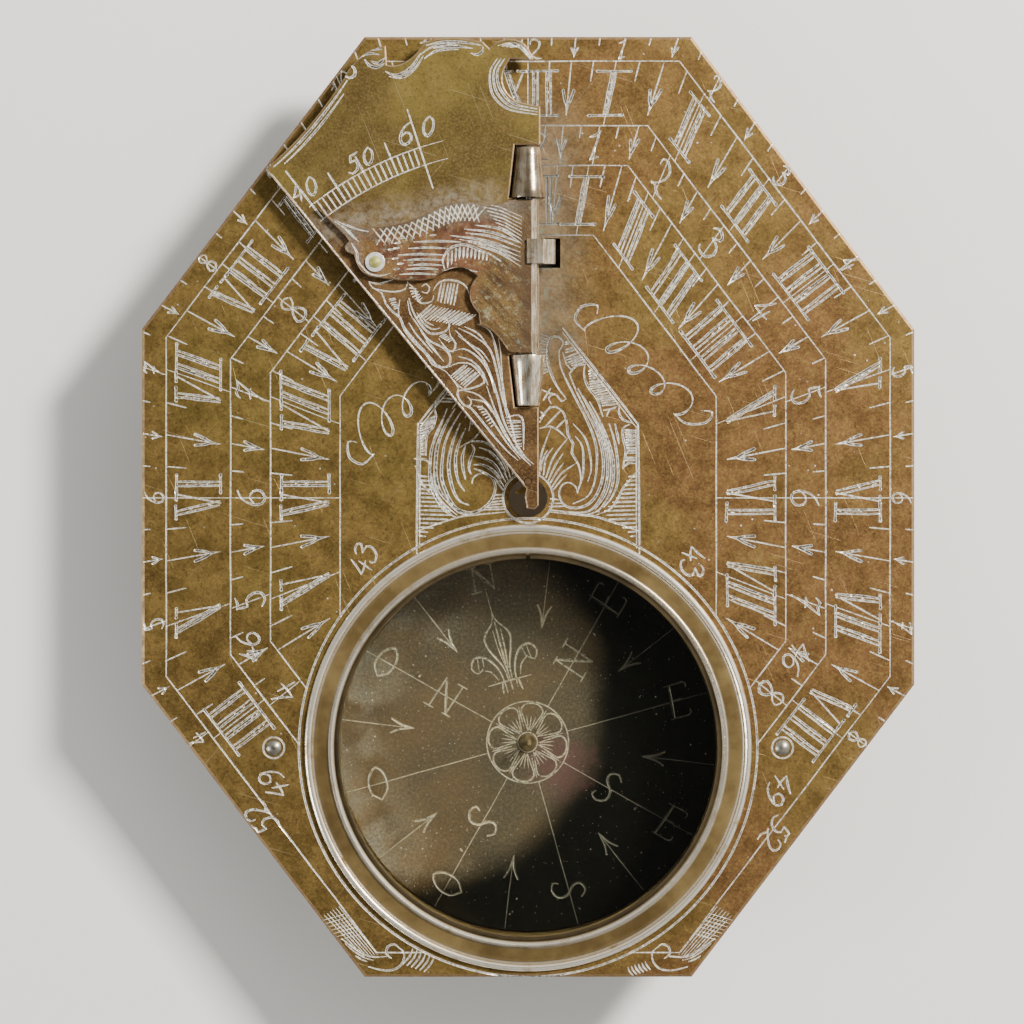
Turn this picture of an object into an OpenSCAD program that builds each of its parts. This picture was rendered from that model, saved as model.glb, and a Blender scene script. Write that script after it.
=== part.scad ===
// Folding pocket sundial: an eight-sided dial plate on a round compass box, with a
// hinged triangular gnomon that turns between two plates to suit the latitude.
// Millimetres. +X is the plate's right, +Y its noon edge, +Z up; z = 0 is the table.

/* [Dial plate] */
// Width across the two upright sides
plate_w = 60; // [58:0.5:66]
// Length from the noon edge to the compass edge
plate_l = 73; // [73:0.5:80]
// Thickness of the dial plate
plate_t = 1.0; // [0.8:0.1:1.5]
// Corner cut along the width
cut_x = 17.3; // [15:0.1:18]
// Corner cut along the length
cut_y = 22.7; // [20:0.1:23]
// Height of the dial face above the table
face_z = 9.0; // [8.5:0.1:12]
// Radius of the hole at the dial centre
centre_hole_r = 1.5; // [1.2:0.1:1.6]
// Distance of the dial centre from the plate's middle
centre_y = 0.7; // [0.6:0.1:0.9]

/* [Compass] */
// Distance of the compass centre below the plate's middle
compass_y = -18.7; // [-18.8:0.1:-18.6]
// Outer radius of the compass box
drum_r = 16.4; // [16.3:0.1:16.8]
// Inner radius of the compass box
drum_inner_r = 15.2; // [15.1:0.1:15.4]
// Thickness of the box's base
base_t = 1.4; // [1.2:0.1:1.8]
// Radius of the clear opening in the bezel
bezel_inner_r = 15.0; // [14.8:0.1:15.1]
// Outer radius of the bezel's flange
bezel_outer_r = 17.35; // [17.2:0.05:17.4]
// Thickness of the glass
glass_t = 0.7; // [0.6:0.1:0.8]
// Distance of each box rivet from the compass centre
rivet_x = 19.75; // [19.5:0.05:20]

/* [Gnomon hinge] */
// Height of the hinge axis above the dial face
axis_h = 1.35; // [1.35:0.01:1.4]
// Radius of the hinge pin
pin_r = 0.25; // [0.22:0.01:0.26]
// Gap between the pin and the moving knuckle's bore
pin_gap = 0.05; // [0.03:0.01:0.06]
// Outer radius of the moving knuckle
knuckle_r = 0.85; // [0.8:0.01:0.86]
// South end of the moving knuckle
knuckle_south = 11.8; // [11.6:0.05:11.9]
// North end of the moving knuckle
knuckle_north = 23.75; // [23.7:0.05:23.8]
// Length of each fixed knuckle
fixed_len = 3.9; // [3.6:0.1:3.9]
// Radius of a fixed knuckle where it meets the moving one
fixed_big_r = 1.34; // [1.2:0.01:1.34]
// Radius of a fixed knuckle at its far end
fixed_small_r = 0.9; // [0.8:0.01:1]

/* [Gnomon plates] */
// Thickness of the style plate
style_t = 0.7; // [0.7:0.02:0.76]
// Thickness of the bird plate and of the back plate
leaf_t = 0.45; // [0.3:0.05:0.45]
// Gap between the style plate and each plate beside it
leaf_gap = 0.05; // [0.05:0.01:0.07]
// Distance of the style plate's pivot from the plate's middle
pivot_y = 1.95; // [1.9:0.05:2]
// Radius of the pivot rivet
pivot_r = 0.25; // [0.2:0.01:0.27]
// Radius of the bird's eye rivet
eye_r = 0.40; // [0.35:0.01:0.42]
// Travel of the style plate in degrees of latitude
latitude_travel = 20; // [15:1:20]

/* [Hidden] */
$fn = 96;
brass = "darkgoldenrod";
bright_brass = "gold";
aged_brass = "peru";
steel = "lightsteelblue";

half_w = plate_w / 2;
half_l = plate_l / 2;
plate_z = face_z - plate_t;
axis_z = face_z + axis_h;

// Compass box and what it holds
spigot_r = bezel_inner_r + 1.0;
ledge_r = bezel_inner_r - 0.35;
ledge_t = 0.2;
floor_t = 0.6;
floor_gap = 0.1;
floor_z = base_t + floor_t;
glass_gap = 0.05;
glass_z = plate_z + ledge_t;
wire_t = 0.3;
wire_z = glass_z + glass_t;
pin_spigot_r = 0.45;
pin_collar_r = 0.65;
pin_collar_t = 0.35;
needle_pin_r = 0.22;
needle_pin_h = 3.2;
ear_r = 1.7;
ear_t = 0.8;
box_rivet_r = 0.5;
box_rivet_head_r = 0.62;

// Hinge: the fixed knuckles stand just clear of the moving one
end_gap = 0.1;
south_big_y = knuckle_south - end_gap;
north_big_y = knuckle_north + end_gap;
tenon_r = 0.55;
foot_half_w = 0.6;

// Cam lug on the moving knuckle, and the slot it swings down through
lug_y = 19.7;
lug_w = 1.9;
slot_w = 2.3;
slot_left = -0.8;
slot_right = 2.5;

// Levels of the three gnomon plates
style_z = axis_z - style_t / 2;
bird_z = style_z + style_t + leaf_gap;
back_z = style_z - leaf_gap - leaf_t;
seat_h = style_t / 2 + leaf_gap;
seat_x = 0.3;

// The eye rivet runs in a slot struck from the style plate's pivot
eye_x = -11.8;
eye_y = 18.85;
slot_r = norm([eye_x, eye_y - pivot_y]);
eye_angle = atan2(eye_y - pivot_y, eye_x);
running_gap = 0.05;
eye_slot_r = eye_r + running_gap;
washer_r = 0.76;

// Detent spring under the plate
spring_t = 0.4;
spring_w = 3.4;
spring_len = 15.5;
spring_screw_r = 0.5;
spring_screw_x = [10.5, 13.5];

// Points of an arc about c, from angle a to angle b
function arc(c, r, a, b, n) = [for (i = [0 : n]) c + r * [cos(a + (b - a) * i / n), sin(a + (b - a) * i / n)]];
// Points of a curve from a to c, drawn towards b
function bend(a, b, c, n) = [for (i = [0 : n]) let (t = i / n) (1 - t) * (1 - t) * a + 2 * t * (1 - t) * b + t * t * c];

module rod_y(r, y0, y1) {
    translate([0, y0, axis_z]) rotate([-90, 0, 0]) cylinder(r = r, h = y1 - y0);
}

module octagon() {
    polygon([[-half_w, half_l - cut_y], [-half_w, cut_y - half_l],
             [cut_x - half_w, -half_l], [half_w - cut_x, -half_l],
             [half_w, cut_y - half_l], [half_w, half_l - cut_y],
             [half_w - cut_x, half_l], [cut_x - half_w, half_l]]);
}

module dial_plate() {
    color(brass) translate([0, 0, plate_z]) difference() {
        linear_extrude(plate_t) difference() {
            octagon();
            translate([0, compass_y]) circle(spigot_r);
            translate([0, centre_y]) circle(centre_hole_r);
            translate([slot_left, lug_y - slot_w / 2]) square([slot_right - slot_left, slot_w]);
            for (s = [-1, 1]) translate([s * rivet_x, compass_y]) circle(box_rivet_r);
            for (y = tenon_ys()) translate([0, y]) circle(tenon_r);
        }
        for (x = spring_screw_x) translate([x, lug_y, -1]) cylinder(r = spring_screw_r, h = 1.65);
    }
}

function tenon_ys() = [south_big_y - fixed_len / 2, north_big_y + fixed_len / 2];

module compass_drum() {
    edge = 0.5;
    color(brass) translate([0, compass_y, 0]) {
        difference() {
            rotate_extrude() polygon(concat([[0, 0]], arc([drum_r - edge, edge], edge, -90, 0, 6),
                [[drum_r, plate_z], [drum_inner_r, plate_z], [drum_inner_r, base_t], [0, base_t]]));
            translate([0, 0, base_t / 2]) cylinder(r = pin_spigot_r, h = base_t);
            for (r = [13.6, 12.9, 5.2]) translate([0, 0, -1]) difference() {
                cylinder(r = r, h = 1.15);
                translate([0, 0, -1]) cylinder(r = r - 0.35, h = 3);
            }
        }
        for (s = [-1, 1]) translate([0, 0, plate_z - ear_t]) linear_extrude(ear_t) difference() {
            union() {
                translate([s * rivet_x, 0]) circle(ear_r);
                translate([s > 0 ? drum_r - 0.5 : -rivet_x, -ear_r]) square([rivet_x - drum_r + 0.5, 2 * ear_r]);
            }
            circle(drum_r - 0.4);
            translate([s * rivet_x, 0]) circle(box_rivet_r);
        }
    }
}

module compass_floor() {
    color("dimgray") translate([0, compass_y, base_t]) linear_extrude(floor_t) difference() {
        circle(drum_inner_r - floor_gap);
        circle(pin_spigot_r);
    }
}

module pivot_pin() {
    tip_h = 0.7;
    color(bright_brass) translate([0, compass_y, 0]) rotate_extrude() polygon([
        [0, base_t / 2], [pin_spigot_r, base_t / 2], [pin_spigot_r, floor_z], [pin_collar_r, floor_z],
        [pin_collar_r, floor_z + pin_collar_t], [needle_pin_r, floor_z + pin_collar_t],
        [needle_pin_r, floor_z + needle_pin_h - tip_h], [0, floor_z + needle_pin_h]]);
}

module compass_glass() {
    color("lightblue", 0.3) translate([0, compass_y, glass_z]) cylinder(r = bezel_inner_r - glass_gap, h = glass_t);
}

// Split spring wire that keeps the glass on its ledge
module glass_retaining_ring() {
    split = 0.3;
    color(bright_brass) translate([0, compass_y, wire_z]) linear_extrude(wire_t) difference() {
        circle(bezel_inner_r);
        circle(bezel_inner_r - 0.3);
        translate([-split / 2, 0]) square([split, bezel_inner_r + 1]);
    }
}

// Turned ring: ledge, bright lip, flat band and an outer bead
module bezel_ring() {
    lip_h = 0.45;
    band_h = 0.22;
    bead_r = 0.27;
    flange_h = 0.12;
    color(aged_brass) translate([0, compass_y, 0]) rotate_extrude() polygon(concat(
        [[ledge_r, plate_z], [spigot_r, plate_z], [spigot_r, face_z], [bezel_outer_r, face_z]],
        arc([bezel_outer_r - bead_r, face_z + flange_h], bead_r, 0, 180, 8),
        [[bezel_outer_r - 2 * bead_r - 0.1, face_z + band_h], [bezel_inner_r + 0.5, face_z + band_h],
         [bezel_inner_r + 0.4, face_z + lip_h], [bezel_inner_r + 0.3, face_z + lip_h],
         [bezel_inner_r, face_z + 0.1], [bezel_inner_r, glass_z], [ledge_r, glass_z]]));
}

module compass_rivets() {
    head_h = 0.3;
    tail_h = 0.25;
    sphere_r = (box_rivet_head_r * box_rivet_head_r + head_h * head_h) / (2 * head_h);
    dome = asin(box_rivet_head_r / sphere_r);
    color(steel) for (s = [-1, 1]) translate([s * rivet_x, compass_y, 0]) rotate_extrude() polygon(concat(
        [[0, plate_z - ear_t - tail_h], [box_rivet_head_r - 0.1, plate_z - ear_t - tail_h],
         [box_rivet_head_r, plate_z - ear_t], [box_rivet_r, plate_z - ear_t], [box_rivet_r, face_z]],
        arc([0, face_z + head_h - sphere_r], sphere_r, 90 - dome, 90, 6)));
}

// Tapered barrel on a narrow foot, with a tenon riveted through the plate
module fixed_knuckle(big_y, side) {
    mid_y = big_y + side * fixed_len / 2;
    foot_len = fixed_len - 0.6;
    color(aged_brass) difference() {
        union() {
            translate([0, big_y, axis_z]) rotate([-90 * side, 0, 0])
                cylinder(r1 = fixed_big_r, r2 = fixed_small_r, h = fixed_len);
            translate([-foot_half_w, mid_y - foot_len / 2, face_z]) cube([2 * foot_half_w, foot_len, axis_h]);
            translate([0, mid_y, plate_z]) cylinder(r = tenon_r, h = plate_t + axis_h - pin_r - 0.1);
            translate([0, mid_y, plate_z - 0.15]) cylinder(r1 = tenon_r, r2 = tenon_r + 0.25, h = 0.15);
        }
        rod_y(pin_r, big_y - fixed_len - 1, big_y + fixed_len + 1);
    }
}

module north_knuckle() {
    fixed_knuckle(north_big_y, 1);
}

module south_knuckle() {
    fixed_knuckle(south_big_y, -1);
}

module hinge_pin() {
    color(steel) rod_y(pin_r, south_big_y - fixed_len, north_big_y + fixed_len);
}

// Tube that turns on the pin, filed flat where the two plates are soldered to it
module gnomon_knuckle() {
    color(brass) difference() {
        rod_y(knuckle_r, knuckle_south, knuckle_north);
        rod_y(pin_r + pin_gap, knuckle_south - 1, knuckle_north + 1);
        for (z = [seat_h, -seat_h - 2]) translate([-2, knuckle_south - 1, axis_z + z])
            cube([2 + seat_x, knuckle_north - knuckle_south + 2, 2]);
    }
}

// Cam that drops through the plate's slot and meets the spring as the gnomon is raised
module cam_lug() {
    tab_z = seat_h + leaf_t;
    color(bright_brass) translate([0, lug_y + lug_w / 2, axis_z]) rotate([90, 0, 0]) linear_extrude(lug_w)
        difference() {
            polygon(concat([[-0.1, tab_z], [seat_x, tab_z], [seat_x, -0.5], [1.75, -0.5]],
                arc([1.75, 0.05], 0.35, -60, 60, 6), [[1.25, 0.55], [1.25, 0.95], [1.15, 1.06], [-0.1, 1.06]]));
            circle(knuckle_r);
        }
}

module bird_outline() {
    polygon(concat(
        bend([-16.2, 23.0], [-14.6, 21.5], [-12.2, 21.6], 6),
        bend([-12.2, 21.6], [-9.6, 21.6], [-7.5, 22.8], 6),
        bend([-7.5, 22.8], [-5.4, 24.0], [-3.0, 23.2], 6),
        [[-1.7, 23.5], [-1.5, 23.65], [seat_x, 23.65], [seat_x, 11.9], [-1.3, 11.9]],
        bend([-1.6, 12.1], [-2.6, 13.8], [-3.7, 14.0], 4),
        bend([-3.8, 14.9], [-5.2, 16.4], [-3.9, 17.8], 5),
        bend([-4.6, 18.3], [-5.8, 18.8], [-7.3, 17.6], 5),
        [[-8.2, 17.45], [-10.0, 17.45]],
        bend([-12.0, 17.7], [-13.1, 17.9], [-13.4, 19.4], 5),
        bend([-13.9, 19.6], [-14.4, 20.0], [-13.8, 20.5], 4),
        [[-14.1, 20.9]]));
}

module bird_plate() {
    color(aged_brass) translate([0, 0, bird_z]) linear_extrude(leaf_t) difference() {
        bird_outline();
        translate([eye_x, eye_y]) circle(eye_r);
    }
}

// Hidden plate behind the style plate: it holds the eye rivet and the style's pivot
module back_plate() {
    arm_end_r = 0.5;
    color(brass) translate([0, 0, back_z]) linear_extrude(leaf_t) difference() {
        union() {
            polygon(concat([[seat_x, 23.5], [-3.0, 22.6]], arc([eye_x, eye_y], 1.1, 105, 250, 8),
                [[-7.2, 13.6], [-5.6, 10.0], [-0.42, pivot_y + 0.1], [0.3, pivot_y + 0.3],
                 [-2.6, 8.2], [-4.0, 12.0], [seat_x, 12.0]]));
            translate([0, pivot_y]) circle(arm_end_r);
            polygon(concat([[0.1, pivot_y - 0.35], [-0.2, pivot_y - 0.3]],
                arc([-0.8, 1.15], 0.18, 90, 270, 4), [[-0.1, 1.1], [0.2, pivot_y - 0.6]]));
        }
        translate([0, pivot_y]) circle(pivot_r);
        translate([eye_x, eye_y]) circle(eye_r);
    }
}

// The slanting edge casts the shadow. Open scrolls run along the far end.
module style_outline() {
    edge_x = 0.8;
    relief = 0.15;
    upper_y = north_big_y + fixed_len + 0.2;
    lower_y = south_big_y - fixed_len - 0.1;
    polygon(concat(
        [[-0.15, 1.4], [-20.2, 26.0]],
        bend([-19.8, 26.5], [-17.0, 28.8], [-14.2, 33.1], 8),
        bend([-13.9, 33.7], [-12.6, 35.4], [-11.0, 35.6], 5),
        bend([-10.9, 34.1], [-9.6, 33.8], [-8.3, 35.4], 5),
        bend([-7.9, 35.9], [-6.2, 36.5], [-3.5, 35.9], 6),
        [[-3.0, 35.4]],
        bend([-2.5, 35.9], [-0.2, 36.7], [0.4, 34.5], 6),
        bend([-1.4, 34.6], [-2.8, 32.6], [-0.9, 31.3], 6),
        [[0.93, 30.9], [0.93, upper_y], [-fixed_small_r - relief, upper_y],
         [-fixed_big_r - relief, north_big_y], [-knuckle_r - 0.1, north_big_y],
         [-knuckle_r - 0.1, knuckle_south], [-fixed_big_r - relief, south_big_y],
         [-fixed_small_r - relief, lower_y], [edge_x, lower_y]],
        [[edge_x, 0.1], [0.5, -0.2], [-0.1, -0.1], [-0.25, 0.75]]));
}

// Slot for the eye rivet, struck from the pivot so that the plate can turn
module eye_slot() {
    union() {
        for (a = [0, latitude_travel])
            translate([0, pivot_y]) rotate(eye_angle - a) translate([slot_r, 0]) circle(eye_slot_r);
        translate([0, pivot_y]) polygon(concat(
            arc([0, 0], slot_r + eye_slot_r, eye_angle, eye_angle - latitude_travel, 10),
            arc([0, 0], slot_r - eye_slot_r, eye_angle - latitude_travel, eye_angle, 10)));
    }
}

module style_plate() {
    color(brass) translate([0, 0, style_z]) linear_extrude(style_t) difference() {
        style_outline();
        eye_slot();
        translate([0, pivot_y]) circle(pivot_r + running_gap);
    }
}

module eye_rivet() {
    tail_r = 0.7;
    tail_h = 0.2;
    dome_h = 0.25;
    top_z = bird_z + leaf_t + 0.12;
    head_r = eye_r + 0.06;
    sphere_r = (head_r * head_r + dome_h * dome_h) / (2 * dome_h);
    dome = asin(head_r / sphere_r);
    color(bright_brass) translate([eye_x, eye_y, 0]) rotate_extrude() polygon(concat(
        [[0, back_z - tail_h], [tail_r - 0.1, back_z - tail_h], [tail_r, back_z], [eye_r, back_z], [eye_r, top_z]],
        arc([0, top_z + dome_h - sphere_r], sphere_r, 90 - dome, 90, 6)));
}

module eye_washer() {
    color("silver") translate([eye_x, eye_y, bird_z + leaf_t]) linear_extrude(0.12) difference() {
        circle(washer_r);
        circle(eye_r);
    }
}

module pivot_rivet() {
    tail_r = 0.42;
    tail_h = 0.2;
    color(brass) translate([0, pivot_y, back_z - tail_h]) {
        cylinder(r = pivot_r, h = tail_h + leaf_t + leaf_gap + style_t);
        cylinder(r = tail_r, h = tail_h);
    }
}

module detent_spring() {
    pad_h = 0.12;
    pad_w = 1.7;
    color(steel) difference() {
        union() {
            translate([slot_left, lug_y - spring_w / 2, plate_z - spring_t]) cube([spring_len, spring_w, spring_t]);
            translate([slot_left + 0.1, lug_y - pad_w / 2, plate_z]) cube([1.6, pad_w, pad_h]);
        }
        for (x = spring_screw_x) translate([x, lug_y, plate_z - 2]) cylinder(r = spring_screw_r, h = 3);
    }
}

module spring_screws() {
    head_r = 0.9;
    head_h = 0.4;
    nick_w = 0.25;
    color(steel) for (x = spring_screw_x) translate([x, lug_y, plate_z]) difference() {
        union() {
            translate([0, 0, -spring_t]) cylinder(r = spring_screw_r, h = spring_t + 0.65);
            translate([0, 0, -spring_t - head_h]) cylinder(r1 = head_r - 0.15, r2 = head_r, h = head_h);
        }
        translate([-nick_w / 2, -head_r, -spring_t - head_h - 1]) cube([nick_w, 2 * head_r, 1.2]);
    }
}

dial_plate();
compass_drum();
compass_floor();
pivot_pin();
compass_glass();
glass_retaining_ring();
bezel_ring();
compass_rivets();
north_knuckle();
south_knuckle();
hinge_pin();
gnomon_knuckle();
cam_lug();
bird_plate();
back_plate();
style_plate();
eye_rivet();
eye_washer();
pivot_rivet();
detent_spring();
spring_screws();
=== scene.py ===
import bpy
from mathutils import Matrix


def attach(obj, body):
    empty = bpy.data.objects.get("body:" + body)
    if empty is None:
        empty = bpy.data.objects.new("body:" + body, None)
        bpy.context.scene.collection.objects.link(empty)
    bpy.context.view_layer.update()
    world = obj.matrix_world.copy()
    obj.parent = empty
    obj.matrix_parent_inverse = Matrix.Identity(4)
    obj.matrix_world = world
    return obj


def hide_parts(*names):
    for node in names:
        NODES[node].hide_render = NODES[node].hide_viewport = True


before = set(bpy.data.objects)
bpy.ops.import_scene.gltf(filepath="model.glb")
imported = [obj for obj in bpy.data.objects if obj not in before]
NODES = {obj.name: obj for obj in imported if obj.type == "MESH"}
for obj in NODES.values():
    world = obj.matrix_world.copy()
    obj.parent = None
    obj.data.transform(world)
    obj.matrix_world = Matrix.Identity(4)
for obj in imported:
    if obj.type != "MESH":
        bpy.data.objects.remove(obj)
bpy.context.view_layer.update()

import math
import random

import bpy
import numpy as np
from mathutils import Vector
from mathutils.geometry import delaunay_2d_cdt

# Plan dimensions are in millimetres, in the part's own frame. Blender works in metres.
MM = 0.001

# ---------------------------------------------------------------- the part's own sizes
HALF_W, HALF_L = 30.0, 36.5
# what each corner of the plate loses across and along
CUT_X, CUT_Y = 17.3, 22.7
# the height of the dial's face, the foot of each other engraved plate, and their thicknesses
FACE_Z, PLATE_T = 9.0, 1.0
STYLE_Z, STYLE_T = 10.0, 0.7
BIRD_Z, BIRD_T = 10.75, 0.45
FLOOR_Z, FLOOR_T = 1.4, 0.6
# where the hour lines meet, the compass, the style's pivot, and the rivet that is the bird's eye
CENTRE = (0.0, 0.7)
COMPASS = (0.0, -18.7)
PIVOT = (0.0, 1.95)
EYE = (-11.8, 18.85)
RIVETS_AT = [(-19.75, COMPASS[1]), (19.75, COMPASS[1])]
# where the fixed knuckles' stems and the detent spring's screws go into the plate
STEMS_AT = [(0, 9.75), (0, 25.8)]
SCREWS_AT = [(10.5, 19.7), (13.5, 19.7)]
# radii: the compass opening and floor, and each hole
OPENING_R, FLOOR_R = 16.0, 15.1
CENTRE_HOLE_R, RIVET_HOLE_R, STEM_HOLE_R, SCREW_HOLE_R = 1.5, 0.5, 0.55, 0.5
PIN_HOLE_R, PIVOT_HOLE_R, EYE_HOLE_R = 0.45, 0.3, 0.4
SCREW_HOLE_DEPTH = 0.65
# the slot beside the hinge for the lug: its left, right, lower and upper edges
LUG_SLOT = (-0.8, 2.5, 18.55, 20.85)
# the radius of the engraved line round the compass, where the scales stop
GROOVE_R = 17.8
# how deep a groove is for its half width, and the least depth that is kept
GROOVE_SLOPE, SHALLOWEST = 1.05, 0.004
# a corner whose turn has a lower cosine is two grooves that meet
SHARP_TURN = 0.55
# the least cosine that a groove's rims are spread for at a bend
MITRE_LIMIT = 0.8
# the half width above which a groove's end is rounded and not pointed
ROUNDED_FROM = 0.07


# ---------------------------------------------------------------- plane geometry
def arc(c, r, a, b, n):
    """Points of an arc about c from angle a to angle b, in degrees."""
    return [(c[0] + r * math.cos(math.radians(a + (b - a) * i / n)),
             c[1] + r * math.sin(math.radians(a + (b - a) * i / n))) for i in range(n + 1)]


def ring(c, r, n):
    """A closed circle as a loop of n points."""
    return arc(c, r, 0, 360 - 360 / n, n - 1)


def bend(a, b, c, n):
    """Points of a curve from a to c, drawn towards b."""
    out = []
    for i in range(n + 1):
        t = i / n
        out.append(tuple((1 - t) ** 2 * a[k] + 2 * t * (1 - t) * b[k] + t * t * c[k] for k in (0, 1)))
    return out


def smooth(points, step=0.3):
    """A Catmull-Rom curve through the points, sampled about every step."""
    p = [np.array(q, float) for q in points]
    if len(p) == 2:
        return p
    p = [2 * p[0] - p[1]] + p + [2 * p[-1] - p[-2]]
    out = []
    for i in range(1, len(p) - 2):
        n = max(2, int(np.linalg.norm(p[i + 1] - p[i]) / step))
        for j in range(n):
            t = j / n
            out.append(0.5 * (2 * p[i] + (p[i + 1] - p[i - 1]) * t
                              + (2 * p[i - 1] - 5 * p[i] + 4 * p[i + 1] - p[i + 2]) * t * t
                              + (3 * p[i] - p[i - 1] - 3 * p[i + 1] + p[i + 2]) * t ** 3))
    return out + [p[-2]]


def inside(points, loop):
    """Which of the points lie inside the closed loop."""
    p = np.asarray(points, float)
    q = np.asarray(loop, float)
    r = np.roll(q, -1, axis=0)
    hit = np.zeros(len(p), bool)
    for (x0, y0), (x1, y1) in zip(q, r):
        if y0 == y1:
            continue
        spans = (y0 > p[:, 1]) != (y1 > p[:, 1])
        hit ^= spans & (p[:, 0] < (x1 - x0) * (p[:, 1] - y0) / (y1 - y0) + x0)
    return hit


def outside_circle(a, b, c, r):
    """The parts of segment ab that lie outside a circle."""
    a, b, c = (np.array(q, float) for q in (a, b, c))
    d, f = b - a, a - c
    k = (d @ d, 2 * f @ d, f @ f - r * r)
    disc = k[1] ** 2 - 4 * k[0] * k[2]
    if disc <= 0:
        return [(a, b)]
    t0, t1 = ((-k[1] + s * math.sqrt(disc)) / (2 * k[0]) for s in (-1, 1))
    out = []
    if t0 > 0:
        out.append((a, a + d * min(t0, 1)))
    if t1 < 1:
        out.append((a + d * max(t1, 0), b))
    return [s for s in out if np.linalg.norm(s[1] - s[0]) > 0.05]


# ---------------------------------------------------------------- engraving
class Engraving:
    """The cuts in one plate's face. Each is a V-shaped groove along a line, in millimetres."""

    def __init__(self, seed):
        self.cuts = []
        self.rng = random.Random(seed)

    def cut(self, points, width=0.13, ends=(0.5, 0.5), curved=True, swell=0.35):
        """A groove through the points. ends says how wide it is at each end, as a share of width."""
        pts = np.array(smooth(points) if curved else points, float)
        gaps = np.linalg.norm(np.diff(pts, axis=0), axis=1)
        keep = np.concatenate([[True], gaps > 1e-3])
        pts = pts[keep]
        if len(pts) < 2:
            return
        if len(pts) == 2:
            pts = np.array([pts[0] + (pts[1] - pts[0]) * t for t in (0, swell, 1 - swell, 1)])
        step = np.diff(pts, axis=0)
        length = np.linalg.norm(step, axis=1)
        t = np.concatenate([[0], np.cumsum(length)]) / length.sum()
        half = np.interp(t, (0, swell, 1 - swell, 1), (ends[0], 1, 1, ends[1])) * width / 2
        half = half * self.rng.uniform(0.9, 1.12)
        step /= length[:, None]
        sharp = [i + 1 for i in range(len(step) - 1) if step[i] @ step[i + 1] < SHARP_TURN]
        breaks = [0] + sharp + [len(pts) - 1]
        for i, j in zip(breaks, breaks[1:]):
            self.cuts.append((pts[i:j + 1], half[i:j + 1]))

    def line(self, a, b, width=0.13, ends=(0.7, 0.7)):
        """A straight groove, ruled in a few lengths whose ends don't quite meet the line."""
        a, b = np.array(a, float), np.array(b, float)
        n = max(1, int(np.linalg.norm(b - a) / 2.5))
        side = np.array([a[1] - b[1], b[0] - a[0]]) / max(np.linalg.norm(b - a), 1e-6)
        pts = [a + (b - a) * i / n + side * (self.rng.uniform(-0.02, 0.02) if 0 < i < n else 0)
               for i in range(n + 1)]
        self.cut(pts, width, ends, curved=False)

    def circle(self, centre, r, half, count):
        """An even groove round a circle of count points."""
        loop = ring(centre, r, count)
        self.cuts.append((np.array(loop + loop[:1]), np.full(count + 1, half)))

    def draw(self, rows, ends, scale=1.0, place=None):
        """Curved grooves. Each row is a width and then the coordinates of its points in turn."""
        for width, *flat in rows:
            pts = list(zip(flat[::2], flat[1::2]))
            self.cut([place(*p) for p in pts] if place else pts, width * scale, ends)

    def hatch(self, left, right, count, width, keep=0.93):
        """Short parallel grooves whose ends run along two curves. A few are left out."""
        def along(curve, t):
            c = np.array(smooth(curve, 0.2))
            run = np.concatenate([[0], np.cumsum(np.linalg.norm(np.diff(c, axis=0), axis=1))])
            return np.array([np.interp(t * run[-1], run, c[:, k]) for k in (0, 1)])
        for i in range(count):
            if self.rng.random() > keep:
                continue
            t = (i + 0.5 + self.rng.uniform(-0.12, 0.12)) / count
            a, b = along(left, t), along(right, t)
            if np.linalg.norm(b - a) > 0.15:
                self.cut([a, b + (0, self.rng.uniform(-0.05, 0.05))], width, (0.6, 0.6))


def groove_rims(pts, half):
    """The closed outline of a groove, with a rounded or pointed cap at each end."""
    d = np.diff(pts, axis=0)
    d /= np.linalg.norm(d, axis=1)[:, None]
    n = np.stack([-d[:, 1], d[:, 0]], axis=1)
    m = np.concatenate([n[:1], n[:-1] + n[1:], n[-1:]])
    m /= np.maximum(np.linalg.norm(m, axis=1), 1e-6)[:, None]
    cosine = np.concatenate([[1], np.sum(m[1:-1] * n[1:], axis=1), [1]])
    reach = (half / np.maximum(cosine, MITRE_LIMIT))[:, None]
    left, right = pts + m * reach, pts - m * reach

    def cap(p, out, side, h):
        angles = (45, 90, 135) if h > ROUNDED_FROM else (90,)
        return [p + h * (side * math.cos(math.radians(a)) + out * math.sin(math.radians(a))) for a in angles]
    end = cap(pts[-1], d[-1], m[-1], half[-1])
    start = cap(pts[0], -d[0], -m[0], half[0])
    return np.concatenate([left, end, right[::-1], start])


def cut_depth(xy, cuts):
    """How deep the engraving is at each point."""
    depth = np.zeros(len(xy))
    for pts, half in cuts:
        reach = half.max()
        lo, hi = pts.min(0) - reach, pts.max(0) + reach
        near = np.flatnonzero(np.all((xy > lo) & (xy < hi), axis=1))
        if not len(near):
            continue
        q = xy[near]
        best = np.full(len(near), -1.0)
        for a, b, h0, h1 in zip(pts[:-1], pts[1:], half[:-1], half[1:]):
            ab = b - a
            t = np.clip(((q - a) @ ab) / (ab @ ab), 0, 1)
            dist = np.linalg.norm(q - a - t[:, None] * ab, axis=1)
            best = np.maximum(best, h0 + (h1 - h0) * t - dist)
        depth[near] = np.maximum(depth[near], np.maximum(best, 0) * GROOVE_SLOPE)
    depth[depth < SHALLOWEST] = 0
    return depth


def triangulate(loops, lines):
    """Triangles over closed loops and open lines, with every given edge kept."""
    verts, edges = [], []
    for pts, closed in [(p, True) for p in loops] + [(p, False) for p in lines]:
        first = len(verts)
        verts += [Vector((float(p[0]), float(p[1]))) for p in pts]
        count = len(pts)
        edges += [(first + i, first + (i + 1) % count) for i in range(count if closed else count - 1)]
    out, _, faces, *_ = delaunay_2d_cdt(verts, edges, [], 0, 1e-6)
    return np.array([tuple(v) for v in out]), np.array(faces)


def filled(points, outline, holes):
    """Which of the points lie inside the outline and in none of the holes."""
    solid = inside(points, outline)
    for h in holes:
        solid &= ~inside(points, h)
    return solid


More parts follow.
